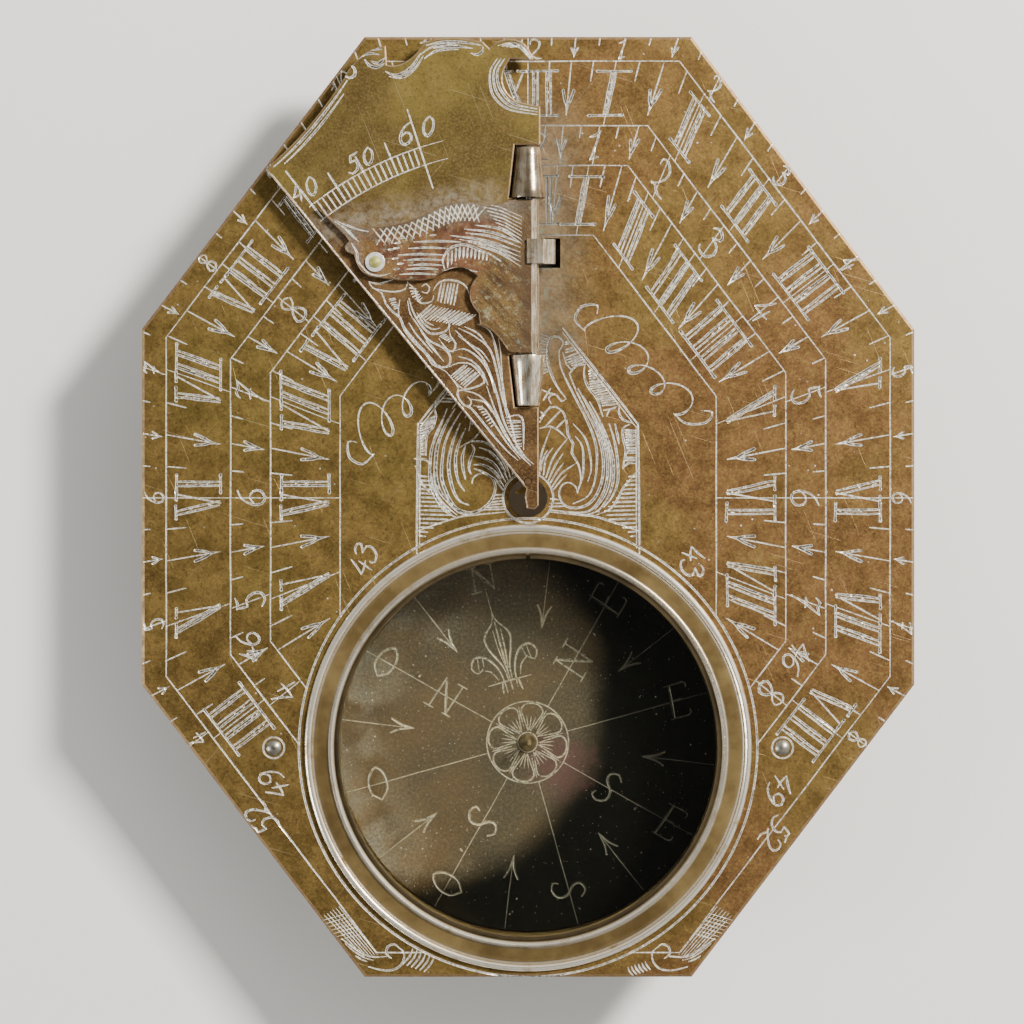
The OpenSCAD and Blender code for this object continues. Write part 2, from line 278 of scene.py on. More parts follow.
# how far the worn edge drops for its width, and how round a blind hole is
CHAMFER_DROP = 0.6
BLIND_SIDES = 24
# a plate's materials
SKIN, CUT, WORN = 0, 1, 2


class Shell:
    """A plate's vertices and faces in millimetres, with the material of each face."""

    def __init__(self):
        self.verts, self.faces, self.materials = [], [], []

    def vert(self, p, z):
        self.verts.append((p[0], p[1], z))
        return len(self.verts) - 1

    def face(self, verts, material):
        self.faces.append(tuple(int(v) for v in verts))
        self.materials.append(int(material))

    def to_scene(self, name):
        mesh = bpy.data.meshes.new(name)
        mesh.from_pydata([(x * MM, y * MM, z * MM) for x, y, z in self.verts], [], self.faces)
        mesh.validate()
        mesh.update()
        kinds = np.array(self.materials[:len(mesh.polygons)], np.int32)
        mesh.polygons.foreach_set("material_index", kinds)
        obj = bpy.data.objects.new(name, mesh)
        bpy.context.scene.collection.objects.link(obj)
        return obj


def twice_area(a, b, c):
    """Twice the area of a triangle, negative where it runs clockwise."""
    return (b[0] - a[0]) * (c[1] - a[1]) - (b[1] - a[1]) * (c[0] - a[0])


def top_triangles(outline, holes, cuts, chamfer):
    """The points and the triangles of a plate's top in plan, all anticlockwise."""
    loops = [outline, inset(outline, chamfer)] + list(holes) + [groove_rims(p, h) for p, h in cuts]
    xy, tris = triangulate(loops, [p for p, h in cuts])
    solid = filled(xy[tris].mean(1), outline, holes)
    area = twice_area(*(xy[tris[:, k]].T for k in (0, 1, 2)))
    tris, flip = tris[solid], area[solid] < 0
    tris[flip] = tris[flip][:, ::-1]
    used = np.unique(tris)
    remap = np.full(len(xy), -1)
    remap[used] = np.arange(len(used))
    return xy[used], remap[tris]


def relief(xy, tris, outline, cuts, chamfer):
    """How far each point of the top is cut or worn down, and the material of each triangle."""
    grooves = cut_depth(xy, cuts)
    rim = np.maximum(0, 1 - edge_distance(xy, outline) / chamfer) * chamfer * CHAMFER_DROP
    rim[rim < 1e-4] = 0
    in_cut = (cut_depth(xy[tris].mean(1), cuts) > 0) | (grooves[tris].min(1) > 0)
    return np.maximum(grooves, rim), np.where(in_cut, CUT, np.where(rim[tris].max(1) > 0, WORN, SKIN))


def close_underside(shell, xy, border, lower, outline, holes, blind, z):
    """Faces across a plate's foot, with the blind holes sunk into it. lower has each border point's foot."""
    keys = list(lower)
    order = {v: i for i, v in enumerate(keys)}
    points = [Vector(xy[v]) for v in keys]
    edges = [(order[a], order[b]) for a, b in border]
    sunk = []
    for centre, r, deep in blind:
        loop = ring(centre, r, BLIND_SIDES)
        first = len(points)
        points += [Vector(p) for p in loop]
        edges += [(first + i, first + (i + 1) % BLIND_SIDES) for i in range(BLIND_SIDES)]
        sunk.append((loop, first, deep))
    out, _, tris, origin, _, _ = delaunay_2d_cdt(points, edges, [], 0, 1e-7)
    index = []
    for p, sources in zip(out, origin):
        known = sources and sources[0] < len(keys)
        index.append(lower[keys[sources[0]]] if known else shell.vert(p, z))
    middles = np.array([[sum(out[i][k] for i in t) / 3 for k in (0, 1)] for t in tris])
    for t, solid in zip(tris, filled(middles, outline, list(holes) + [s[0] for s in sunk])):
        turn = twice_area(*(out[i] for i in t))
        if solid and abs(turn) > 1e-10:
            shell.face([index[i] for i in (t if turn < 0 else t[::-1])], SKIN)
    back = {s: i for i, sources in enumerate(origin) for s in sources}
    for loop, first, deep in sunk:
        low = [index[back[first + i]] for i in range(BLIND_SIDES)]
        high = [shell.vert(p, z + deep) for p in loop]
        for i in range(BLIND_SIDES):
            j = (i + 1) % BLIND_SIDES
            shell.face((low[i], low[j], high[j], high[i]), SKIN)
        shell.face(high[::-1], SKIN)


def engraved_plate(name, outline, holes, cuts, base_z, thick, chamfer, blind=()):
    """A flat plate with real grooves in its top.

    blind gives the centre, radius and depth of each hole sunk into the underside.
    """
    xy, tris = top_triangles(outline, holes, cuts, chamfer)
    depth, kinds = relief(xy, tris, outline, cuts, chamfer)
    shell = Shell()
    for p, z in zip(xy, base_z + thick - depth):
        shell.vert(p, z)
    for t, kind in zip(tris, kinds):
        shell.face(t, kind)
    # the sides stand on the edges that only one triangle has
    directed = {(int(t[i]), int(t[(i + 1) % 3])): True for t in tris for i in range(3)}
    border = [(a, b) for a, b in directed if (b, a) not in directed]
    lower = {}
    for v in (v for edge in border for v in edge):
        if v not in lower:
            lower[v] = shell.vert(xy[v], base_z)
    for a, b in border:
        shell.face((a, lower[a], lower[b], b), WORN)
    close_underside(shell, xy, border, lower, outline, holes, blind, base_z)
    return shell.to_scene(name)


def edge_distance(xy, loop):
    """The distance of each point from a closed loop."""
    q = np.asarray(loop, float)
    best = np.full(len(xy), 1e9)
    for a, b in zip(q, np.roll(q, -1, axis=0)):
        ab = b - a
        t = np.clip(((xy - a) @ ab) / max(ab @ ab, 1e-12), 0, 1)
        best = np.minimum(best, np.linalg.norm(xy - a - t[:, None] * ab, axis=1))
    return best


def inset(loop, d):
    """The loop moved inward by d."""
    p = np.asarray(loop, float)
    area = np.sum(p[:, 0] * np.roll(p[:, 1], -1) - np.roll(p[:, 0], -1) * p[:, 1])
    turn = 1 if area > 0 else -1
    a = p - np.roll(p, 1, axis=0)
    b = np.roll(p, -1, axis=0) - p
    a /= np.maximum(np.linalg.norm(a, axis=1), 1e-9)[:, None]
    b /= np.maximum(np.linalg.norm(b, axis=1), 1e-9)[:, None]
    na = np.stack([-a[:, 1], a[:, 0]], axis=1) * turn
    nb = np.stack([-b[:, 1], b[:, 0]], axis=1) * turn
    m = na + nb
    m /= np.maximum(np.linalg.norm(m, axis=1), 1e-9)[:, None]
    reach = d / np.clip(np.sum(m * nb, axis=1), 0.5, 1)
    return p + m * reach[:, None]


# ---------------------------------------------------------------- numerals
# Each digit is a few curved strokes in a box one unit high, with its foot at 0.
DIGITS = {
    "0": [[(0.32, 1), (0.06, 0.7), (0.06, 0.2), (0.28, 0), (0.52, 0.3), (0.52, 0.75), (0.32, 1)]],
    "1": [[(0.02, 0.8), (0.2, 0.86), (0.34, 1.0)], [(0.34, 1.0), (0.26, 0.5), (0.16, 0.0)],
          [(0.16, 0.02), (0.3, 0.08), (0.44, 0.1)]],
    "2": [[(0.04, 0.74), (0.08, 0.93), (0.3, 1.0), (0.52, 0.84), (0.46, 0.55), (0.22, 0.28), (0.0, 0.1)],
          [(-0.04, 0.12), (0.14, 0.16), (0.34, 0.02), (0.62, 0.02)]],
    "3": [[(0.04, 0.86), (0.2, 0.98), (0.44, 0.95), (0.5, 0.78), (0.2, 0.62)],
          [(0.2, 0.62), (0.52, 0.54), (0.58, 0.28), (0.36, 0.02), (0.06, 0.0), (-0.04, 0.14)]],
    "4": [[(0.4, 1.0), (0.22, 0.66), (0.0, 0.38)], [(0.0, 0.38), (0.3, 0.36), (0.62, 0.4)],
          [(0.48, 0.66), (0.42, 0.34), (0.36, 0.0)]],
    "5": [[(0.18, 0.98), (0.12, 0.6)], [(0.12, 0.6), (0.38, 0.64), (0.52, 0.42), (0.42, 0.12), (0.16, 0.0),
          (-0.04, 0.1)], [(0.16, 0.98), (0.36, 0.96), (0.58, 1.04)]],
    "6": [[(0.54, 0.96), (0.24, 0.8), (0.04, 0.42), (0.08, 0.1), (0.3, 0.0), (0.52, 0.16), (0.5, 0.42),
          (0.28, 0.52), (0.08, 0.38)]],
    "7": [[(0.02, 0.86), (0.14, 1.0), (0.34, 0.92), (0.58, 0.98)], [(0.58, 0.98), (0.36, 0.5), (0.24, 0.0)],
          [(0.12, 0.5), (0.34, 0.52), (0.5, 0.48)]],
    "8": [[(0.48, 0.9), (0.26, 1.0), (0.08, 0.84), (0.18, 0.62), (0.44, 0.4), (0.5, 0.14), (0.26, 0.0),
          (0.04, 0.14), (0.16, 0.44), (0.44, 0.66), (0.52, 0.86)]],
    "9": [[(0.5, 0.72), (0.34, 0.52), (0.08, 0.62), (0.08, 0.88), (0.3, 1.0), (0.52, 0.84), (0.5, 0.44),
          (0.3, 0.1), (0.04, 0.0)]],
}
DIGIT_STEP = 0.68


def digits(art, text, place, height, width):
    """Writes a number. place(x, y) turns its own millimetres into the plate's."""
    left = -(len(text) * DIGIT_STEP - (DIGIT_STEP - 0.55)) * height / 2
    for i, d in enumerate(text):
        for n, stroke in enumerate(DIGITS[d]):
            pts = [place(left + (i * DIGIT_STEP + x) * height, (y - 0.5) * height) for x, y in stroke]
            art.cut(pts, width * (1.0 if n == 0 or len(stroke) > 4 else 0.85), (0.55, 0.55))


def roman(art, text, place, height):
    """A Roman numeral: broad stems of rough parallel cuts, thin hairlines, and long serif bars."""
    pitch = {"I": 1.03, "V": 2.2, "X": 2.2}
    wide = sum(pitch[c] for c in text)
    top, low = height / 2, -height / 2
    x = -wide / 2
    stems = []

    def stem(x0, x1):
        for off, w in ((-0.16, 0.21), (0.15, 0.17)):
            wander = [art.rng.uniform(-0.03, 0.03) for _ in range(5)]
            art.cut([place(x0 + (x1 - x0) * t / 4 + off + wander[t], top - (top - low) * (0.02 + 0.24 * t))
                     for t in range(5)], w, (0.8, 0.7), curved=False)
        for _ in range(3):
            t = art.rng.uniform(0.08, 0.92)
            x, y = x0 + (x1 - x0) * t + art.rng.uniform(-0.06, 0.06), top - (top - low) * t
            art.cut([place(x - 0.03, y + 0.11), place(x + 0.03, y - 0.11)], 0.08, (0.4, 0.4))

    def bar(x0, x1, y):
        a, b = place(x0, y), place(x1, y + art.rng.uniform(-0.05, 0.05))
        art.cut([a, b], 0.19, (1.35, 1.35), swell=0.14)

    for c in text:
        mid = x + pitch[c] / 2
        if c == "I":
            stem(mid, mid)
            stems.append(mid)
        elif c == "V":
            stem(mid - 0.66, mid + 0.12)
            art.cut([place(mid + 0.78, top - 0.05), place(mid + 0.12, low)], 0.12, (1, 1))
            bar(mid - 1.12, mid - 0.12, top)
            bar(mid + 0.38, mid + 1.1, top)
        else:
            stem(mid - 0.62, mid + 0.62)
            art.cut([place(mid + 0.66, top - 0.05), place(mid - 0.66, low)], 0.13, (1, 1))
            for y in (top, low):
                bar(mid - 1.05, mid - 0.22, y)
                bar(mid + 0.25, mid + 1.05, y)
        x += pitch[c]
    if stems:
        alone = 1.3 if text == "I" else 0.68
        for y in (top, low):
            bar(stems[0] - alone, stems[-1] + alone, y)


# ---------------------------------------------------------------- the eight-sided scales
DIAG = math.hypot(CUT_X, CUT_Y)
NX, NY = CUT_Y / DIAG, CUT_X / DIAG
DD = NX * (HALF_W - CUT_X) + NY * HALF_L
SIDES = [(1, 0, HALF_W), (NX, NY, DD), (0, 1, HALF_L), (-NX, NY, DD),
         (-1, 0, HALF_W), (-NX, -NY, DD), (0, -1, HALF_L), (NX, -NY, DD)]


def corners(d):
    """The corners of the octagon moved inward by d, anticlockwise from the right-hand upper one."""
    out = []
    for (ax, ay, ad), (bx, by, bd) in zip(SIDES, SIDES[1:] + SIDES[:1]):
        det = ax * by - ay * bx
        out.append((((ad - d) * by - (bd - d) * ay) / det, (ax * (bd - d) - bx * (ad - d)) / det))
    return out


def ray_hit(angle, d):
    """Where a ray from the dial centre meets the octagon at depth d, and on which side."""
    u = (math.sin(angle), math.cos(angle))
    hits = []
    for i, (nx, ny, dist) in enumerate(SIDES):
        run = nx * u[0] + ny * u[1]
        if run > 1e-6:
            hits.append(((dist - d - nx * CENTRE[0] - ny * CENTRE[1]) / run, i))
    t, i = min(hits)
    return np.array([CENTRE[0] + t * u[0], CENTRE[1] + t * u[1]]), i


def hour_angle(hours, latitude):
    """The angle of the shadow from the noon line, hours after noon."""
    h = math.radians(15 * hours)
    return math.atan2(math.sin(math.radians(latitude)) * math.sin(h), math.cos(h))


ROMAN = " I II III IIII V VI VII VIII IX X XI XII".split(" ")
# latitude, outer edge and inner edge of the band as insets, and whether its numerals are Roman
SCALES = [(52, 0.0, 1.9, False), (49, 1.9, 6.9, True), (46, 6.9, 10.0, False), (43, 10.0, 15.4, True)]


def clear_of_compass(p, margin=0.0):
    """Whether a point lies outside the groove round the compass, by more than the margin."""
    return math.hypot(p[0] - COMPASS[0], p[1] - COMPASS[1]) > GROOVE_R + margin


def scale(art, latitude, outer, inner, is_roman):
    """One hour scale: hour lines with numerals, arrows at the halves, and ticks at the quarters."""
    band = inner - outer
    start = outer or 0.1
    # quarters of an hour, from eight hours before noon to eight after
    for step in range(-32, 33):
        angle = hour_angle(step / 4, latitude)
        mid, side = ray_hit(angle, (outer + inner) / 2)
        nx, ny, _ = SIDES[side]
        p_out, p_in = ray_hit(angle, start)[0], ray_hit(angle, inner)[0]
        if not (clear_of_compass(p_in, -0.2) and clear_of_compass(p_out)):
            continue
        u = np.array([ny, -nx])

        def at(t):
            return p_out + (p_in - p_out) * t

        if step % 4 == 0:
            art.line(p_out, p_in, 0.09)
            ray = np.array([math.sin(angle), math.cos(angle)])
            v = ray / max(nx * ray[0] + ny * ray[1], 0.3)

            def place(x, y):
                return mid + u * x + v * y
            clock = (step // 4 - 1) % 12 + 1
            if is_roman:
                if clear_of_compass(mid, 1.2):
                    roman(art, ROMAN[clock], place, band * 0.69)
            elif clear_of_compass(mid, 0.5):
                digits(art, str(clock), place, band * (0.72 if outer else 0.8), 0.2 if outer else 0.17)
        elif step % 2 == 0:
            shaft = 0.68
            art.line(p_out, at(shaft), 0.11)
            barb, head = (0.42, 0.45) if is_roman else (0.33, 0.36) if outer else (0.26, 0.42)
            for s in (-1, 1):
                art.cut([at(head) + u * s * barb, at(head + 0.16) + u * s * barb * 0.5, at(shaft + 0.02),
                         at(0.84)], 0.23 if outer else 0.15, (1.0, 0.3), swell=0.75)
        else:
            art.line(p_out, at(0.31), 0.11)


def octagon_line(art, d, width=0.11):
    """A ruled line parallel to the plate's edge, stopping at the groove round the compass."""
    c = corners(d)
    for a, b in zip(c, c[1:] + c[:1]):
        for p, q in outside_circle(a, b, COMPASS, GROOVE_R):
            art.line(p, q, width)


# ---------------------------------------------------------------- ornament round the centre hole
# how much broader the scrolls are cut than their rows say
BOLD = 1.15
# Each row is one stroke: its width, and then the coordinates of the points it runs through.
LEFT_SCROLL = [
    (0.2, -6.3, 7.6, -6.94, 5.92, -7.4, 4.85, -7.6, 3.6, -7.6, 1.78, -7.09, 0.55, -6.4, -0.37, -5.5, -0.85),
    (0.13, -7.5, 2.6, -7.35, 1.3, -6.8, 0.25, -5.9, -0.6),
    (0.13, -7.35, 2.6, -7.15, 1.2, -6.6, 0.3, -5.5, -0.65),
    (0.24, -5.7, 7.6, -6.4, 6.38, -7.0, 4.85, -7.17, 3.6, -7.17, 2.4, -6.9, 1.3, -6.3, 0.5, -5.4, -0.4, -4.6,
     -0.62),
    (0.2, -5.2, 7.4, -6.0, 6.07, -6.48, 4.85, -6.7, 3.3, -6.7, 2.16, -6.4, 1.24, -6.0, 0.4, -5.48, -0.2, -4.7,
     -0.47, -4.1, -0.4, -3.5, -0.14, -2.87, 0.48, -2.57, 1.24, -2.6, 1.85, -2.9, 2.35, -3.45, 2.6, -3.95, 2.5,
     -4.28, 2.2, -4.35, 1.86),
    (0.24, -5.29, 6.46, -5.79, 5.23, -6.1, 3.93, -6.17, 2.93, -6.0, 1.93, -5.7, 1.0, -5.25, 0.4, -4.6, 0.15),
    (0.2, -4.87, 6.07, -5.33, 5.08, -5.63, 3.93, -5.6, 2.85, -5.4, 1.93, -4.94, 1.24),
    (0.2, -4.87, 4.77, -5.1, 3.93, -5.06, 3.0, -4.87, 2.16),
    (0.2, -4.4, 4.85, -4.18, 4.46, -4.48, 3.7, -4.6, 3.0, -4.44, 2.55),
    (0.15, -5.3, 4.6, -4.56, 5.04, -3.49, 5.04, -2.72, 4.6, -2.1, 3.7, -1.57, 2.7),
    (0.12, -5.1, 4.75, -4.3, 5.2, -3.7, 5.9),
    (0.15, -3.8, 4.6, -3.0, 4.3, -2.3, 3.6, -1.75, 2.7),
    (0.17, -4.18, 3.93, -3.18, 3.7, -2.49, 3.16, -1.95, 2.3),
    (0.19, -4.25, 3.28, -3.49, 3.24, -2.72, 2.85, -2.1, 2.2),
    (0.16, -4.18, 2.97, -3.49, 2.7, -2.72, 2.24, -2.1, 1.8),
    (0.16, -8.85, 3.74, -7.93, 3.66, -7.63, 3.3),
    (0.14, -8.8, 3.2, -8.45, 2.7, -8.4, 2.1, -7.9, 1.4, -7.5, 1.0),
    (0.16, -6.9, 8.3, -7.3, 7.7, -7.15, 7.15, -7.4, 6.15, -7.85, 5.6, -7.93, 4.0),
    (0.1, -6.6, 6.9, -7.2, 5.6, -7.55, 4.4),
]
RIGHT_SCROLL = [
    (0.17, 2.96, 8.4, 2.17, 9.5, 1.62, 10.9, 1.5, 12.3, 1.75, 13.1, 2.4, 13.2, 2.75, 12.7, 2.4, 12.1),
    (0.15, 2.4, 12.1, 2.5, 11.0, 2.96, 9.87, 3.65, 8.5, 4.44, 7.0, 5.1, 5.4, 5.35, 4.06, 5.24, 2.36, 4.9, 1.2,
     4.4, 0.65, 3.5, 0.25),
    (0.11, 2.7, 12.0, 3.0, 11.1, 3.4, 10.6),
    (0.18, 3.19, 10.4, 3.65, 9.2, 4.56, 7.36, 5.35, 5.77, 5.8, 4.06, 5.8, 2.36, 5.35, 1.0, 4.67, 0.2, 3.76,
     -0.09, 2.96, 0.03, 2.5, 0.6, 2.42, 1.2, 2.7, 1.75, 3.25, 1.88, 3.7, 1.56, 3.85, 1.1),
    (0.17, 3.87, 9.2, 4.78, 7.5, 5.6, 5.8, 6.1, 4.06, 6.15, 2.36, 5.8, 1.0, 5.0, -0.14, 4.0, -0.45, 1.8,
     -0.25),
    (0.1, 4.3, 8.6, 5.1, 7.2, 5.9, 5.5, 6.35, 3.9, 6.38, 2.2, 6.0, 0.9, 5.2, -0.2),
    (0.18, 4.78, 8.16, 5.47, 6.9, 6.15, 5.3, 6.6, 3.7, 6.6, 2.1, 6.26, 0.88, 5.47, -0.26, 4.56, -0.6),
    (0.18, 6.3, 6.45, 6.7, 5.1, 6.95, 3.5, 6.95, 1.9, 6.5, 0.75, 5.9, 0.0),
    (0.16, 6.75, 6.45, 6.95, 5.5, 7.05, 4.9),
    (0.16, 3.25, 10.4, 3.76, 10.95, 4.44, 11.06),
    (0.17, 4.44, 11.1, 4.33, 10.3, 4.67, 9.3, 5.35, 8.4, 5.8, 7.0),
    (0.13, 6.1, 7.0, 6.3, 7.5, 6.9, 7.8),
    (0.15, 7.1, 7.9, 7.05, 7.3, 7.4, 6.75, 8.2, 6.5),
    (0.16, 7.9, 6.4, 7.35, 6.1, 7.4, 5.2, 7.6, 4.4, 7.35, 3.0),
    (0.15, 7.35, 3.0, 7.8, 3.4, 8.35, 3.35),
    (0.16, 8.55, 2.9, 8.1, 2.3, 7.4, 1.5, 6.95, 0.6, 6.4, -0.15, 5.4, -0.6),
    (0.13, 3.5, 6.45, 4.4, 5.4, 4.8, 4.1, 4.9, 2.9, 4.65, 2.0),
    (0.15, 3.65, 5.5, 4.2, 4.7, 4.3, 3.3, 4.2, 2.2, 3.8, 1.2),
    (0.12, 0.9, 9.2, 1.7, 8.8, 2.2, 8.7, 2.6, 8.2, 2.96, 8.4),
    (0.1, 1.8, 8.0, 1.6, 8.5, 2.1, 8.8),
    (0.16, 0.9, 6.6, 1.7, 7.7, 2.5, 7.6, 2.95, 6.8, 3.1, 5.6, 3.5, 4.9, 3.4, 4.2, 3.9, 3.3, 4.1, 2.1, 3.85,
     1.1),
    (0.13, 0.95, 6.1, 1.7, 6.25, 2.4, 5.9, 2.95, 5.35),
]
# the upper left of the frame, which the folded gnomon covers
COVERED_SCROLL = [
    (0.17, -2.96, 8.4, -2.17, 9.5, -1.62, 10.9, -1.5, 12.3, -1.75, 13.1, -2.4, 13.2),
    (0.15, -2.4, 12.1, -2.5, 11.0, -2.96, 9.87, -3.65, 8.5, -4.3, 7.2, -4.6, 5.9),
    (0.17, -3.19, 10.4, -3.65, 9.2, -4.4, 7.8, -4.9, 6.9),
    (0.15, -3.25, 10.4, -3.76, 10.95, -4.44, 11.06),
    (0.16, -4.44, 11.1, -4.33, 10.3, -4.67, 9.3, -5.35, 8.4, -5.9, 7.6),
]
CORNER = [
    (0.17, 11.0, -34.9, 11.9, -34.95, 12.6, -34.8, 13.5, -34.25, 14.5, -33.5),
    (0.1, 12.0, -35.2, 12.7, -35.0, 13.5, -34.5, 14.2, -33.9),
    (0.17, 10.05, -34.2, 10.4, -33.95, 10.9, -34.15, 11.0, -34.7, 10.6, -35.05),
    (0.15, 10.1, -34.15, 9.7, -34.5, 9.62, -35.0, 9.9, -35.6, 10.5, -35.95, 11.4, -35.95, 12.4, -35.7),
    (0.12, 12.5, -35.3, 13.0, -35.1, 13.4, -34.85),
]
FAN = [((0.9, 2.6), (1.05, 4.1), (1.75, 6.1)), ((1.2, 2.5), (1.4, 3.8), (1.95, 4.6)),
       ((1.4, 2.3), (2.0, 3.9), (3.05, 5.3)), ((1.6, 2.1), (2.1, 3.2), (2.75, 4.2)),
       ((1.75, 1.9), (2.3, 2.8), (2.75, 3.4)), ((1.9, 1.6), (2.6, 2.6), (3.75, 3.4)),
       ((1.0, 2.8), (1.1, 3.6), (1.5, 4.4)), ((1.95, 1.3), (2.5, 2.0), (3.0, 2.5))]


def frame_and_scrolls(art):
    """The pointed frame round the centre hole, double on its sides, and the leaves that fill it."""
    for s in (-1, 1):
        art.line((s * 2.7, 13.9), (s * 8.5, 6.45), 0.16)
        art.line((s * 2.7, 13.55), (s * 8.3, 6.3), 0.09)
        art.line((s * 8.55, 6.5), (s * 8.65, -3.6), 0.17)
        art.line((s * 8.38, 6.3), (s * 8.42, -3.2), 0.09)
        art.draw([(0.15, 8.7, -1.9, 7.47, -1.48, 5.33, -0.78, 4.1, -0.62, 1.8, -0.4)], (0.5, 0.5),
                 place=lambda x, y: (s * x, y))
    # on the left, long parallel leaves gather into a volute
    art.draw(LEFT_SCROLL, (0.35, 0.4), BOLD)
    art.hatch([(-8.3, 6.6), (-8.3, 4.0)], [(-7.15, 7.2), (-7.45, 6.1), (-7.85, 5.6), (-7.95, 4.0)], 13, 0.16)
    for s in (-1, 1):
        for y in np.linspace(2.4, -2.9, 17):
            x = np.interp(y, (-2.9, -1.75, -1.0, -0.3, 1.2, 2.6), (8.3, 7.7, 6.3, 5.9, 7.3, 7.9))
            if x < 8.12:
                art.cut([(s * 8.45, y), (s * x, y - 0.06)], 0.15, (0.6, 0.6))
    art.hatch([(-2.7, 1.1), (-3.0, 0.3), (-3.9, -0.3)], [(-1.95, 1.1), (-1.85, 0.4), (-1.7, -0.3)], 6, 0.13)
    art.draw(RIGHT_SCROLL, (0.4, 0.4), BOLD)
    for a, b in (((0.95, 6.9), (1.75, 7.8)), ((1.4, 6.3), (2.6, 7.55)), ((2.2, 6.1), (2.9, 6.8)),
                 ((0.95, 7.4), (1.3, 7.1)), ((1.2, 8.3), (1.75, 9.2))):
        art.cut([a, b], 0.14, (0.6, 0.6))
    for pts in FAN:
        art.cut(pts, 0.14, (0.8, 0.3))
    art.hatch([(0.95, 13.6), (1.0, 10.2)], [(1.6, 13.4), (1.5, 10.4)], 14, 0.14)
    art.hatch([(2.9, 12.9), (3.0, 11.4), (3.5, 10.9)], [(3.2, 13.0), (4.3, 11.5), (4.5, 11.2)], 11, 0.15)
    art.hatch([(4.7, 10.6), (4.9, 9.2), (5.7, 8.0), (5.9, 7.4)],
              [(5.0, 10.7), (6.3, 9.0), (7.0, 8.0), (6.7, 7.6)], 18, 0.15)
    art.hatch([(7.5, 6.1), (7.6, 5.0), (7.4, 3.5)], [(8.3, 6.1), (8.35, 5.0), (8.35, 3.5)], 13, 0.16)
    art.hatch([(1.75, 0.75), (1.6, -0.15)], [(2.3, 0.7), (2.9, -0.1)], 3, 0.12)
    art.draw(COVERED_SCROLL, (0.4, 0.4))
    art.hatch([(-5.0, 10.7), (-6.3, 9.0), (-7.0, 8.0)], [(-4.7, 10.6), (-4.9, 9.2), (-5.7, 8.0)], 10, 0.13)
    for pts in FAN:
        art.cut([(-x, y) for x, y in pts], 0.13, (0.8, 0.3))


def corner_ornament(art, s):
    """Hatching, a looped tendril and short strokes in one lower corner."""
    for i in range(6):
        t = 0.28 * i
        art.cut([(s * (14.7 + t * 0.8), -31.0 - t * 0.5), (s * (11.7 + t * 0.75), -34.75 - t * 0.1)], 0.075)
    for i in range(7):
        t = 0.35 * i
        art.cut([(s * (14.2 - t * 0.55), -31.6 - t * 0.75), (s * (15.9 - t * 0.62), -32.1 - t * 0.72)], 0.07)
    art.draw(CORNER, (0.5, 0.5), place=lambda x, y: (s * x, y))
    # the short strokes are smaller on the right
    x, y, dx, dy, size = (7.75, -35.75, 0.27, 0.09, 1.0) if s > 0 else (7.3, -34.9, 0.33, 0.12, 1.9)
    for i in range(6):
        art.cut([(s * (x + dx * i + u * size), y + dy * i - v * size)
                 for u, v in ((0, 0), (0.12, 0.3), (0.4, 0.62))], 0.15, (0.4, 0.6))


def upright(x, y, turn, skew=0.12):
    """A place() for things set at x, y and turned, whose tops lean by skew."""
    c, s = math.cos(math.radians(turn)), math.sin(math.radians(turn))

    def place(u, v):
        u = u + skew * v
        return (x + u * c - v * s, y + u * s + v * c)
    return place


def flourish(art, x, y, turn, length, loops):
    """A coil of leaning loops with a swelling stroke on each, and a curl at each end."""
    place = upright(x, y, turn, 0.35)
    steps, half = 24, 12
    coil = []
    for i in range(loops * steps + 1):
        a = math.tau * i / steps
        tall = 1.6 if i < steps else (0.75, 1.05)[i // steps % 2]
        u = length * (i / (loops * steps) - 0.5) - 0.85 * math.sin(a)
        coil.append(place(u, tall * (1 - math.cos(a)) - 1.1))
    for i in range(half // 2, len(coil) - 1, half):
        art.cut(coil[i:i + half + 1], (0.12, 0.22)[i // half % 2], curved=False)
    art.cut(coil[:half // 2 + 1], 0.14, curved=False)
    for end in (-1, 1):
        art.cut([place(end * (length / 2 + u), v)
                 for u, v in ((0, -1.1), (1.2, -1.0), (1.9, 0.1), (1.4, 1.0), (0.8, 0.5))], 0.2, (0.5, 0.3))


def dial_engraving():
    """The four hour scales, their latitudes, the ornaments and the rings round the holes."""
    art = Engraving(11)
    for latitude, outer, inner, is_roman in SCALES:
        octagon_line(art, inner)
        scale(art, latitude, outer, inner, is_roman)
    # latitudes at the lower ends of the scales
    for text, x, y, turn in (("52", 19.2, -25.4, -127), ("49", 19.5, -21.9, -130), ("46", 20.9, -11.7, -124),
                             ("43", 12.8, -4.2, -95), ("52", -20.7, -24.2, 128), ("49", -19.7, -21.5, 118),
                             ("46", -21.6, -10.9, 106), ("43", -12.8, -4.1, 72)):
        digits(art, text, upright(x, y, turn), 1.8, 0.17)
    # lines round the compass and the dial centre
    art.circle(COMPASS, GROOVE_R, 0.085, 160)
    art.circle(CENTRE, 1.95, 0.08, 48)
    frame_and_scrolls(art)
    for s in (-1, 1):
        corner_ornament(art, s)
    flourish(art, 8.9, 11.0, -43, 9.4, 4)
    flourish(art, -10.4, 7.4, 47, 6.2, 3)
    # the sunk rim round each compass rivet
    for rivet in RIVETS_AT:
        art.circle(rivet, 0.82, 0.07, 28)
    return art.cuts


# ---------------------------------------------------------------- compass rose
ROSE_TURN = 15.5
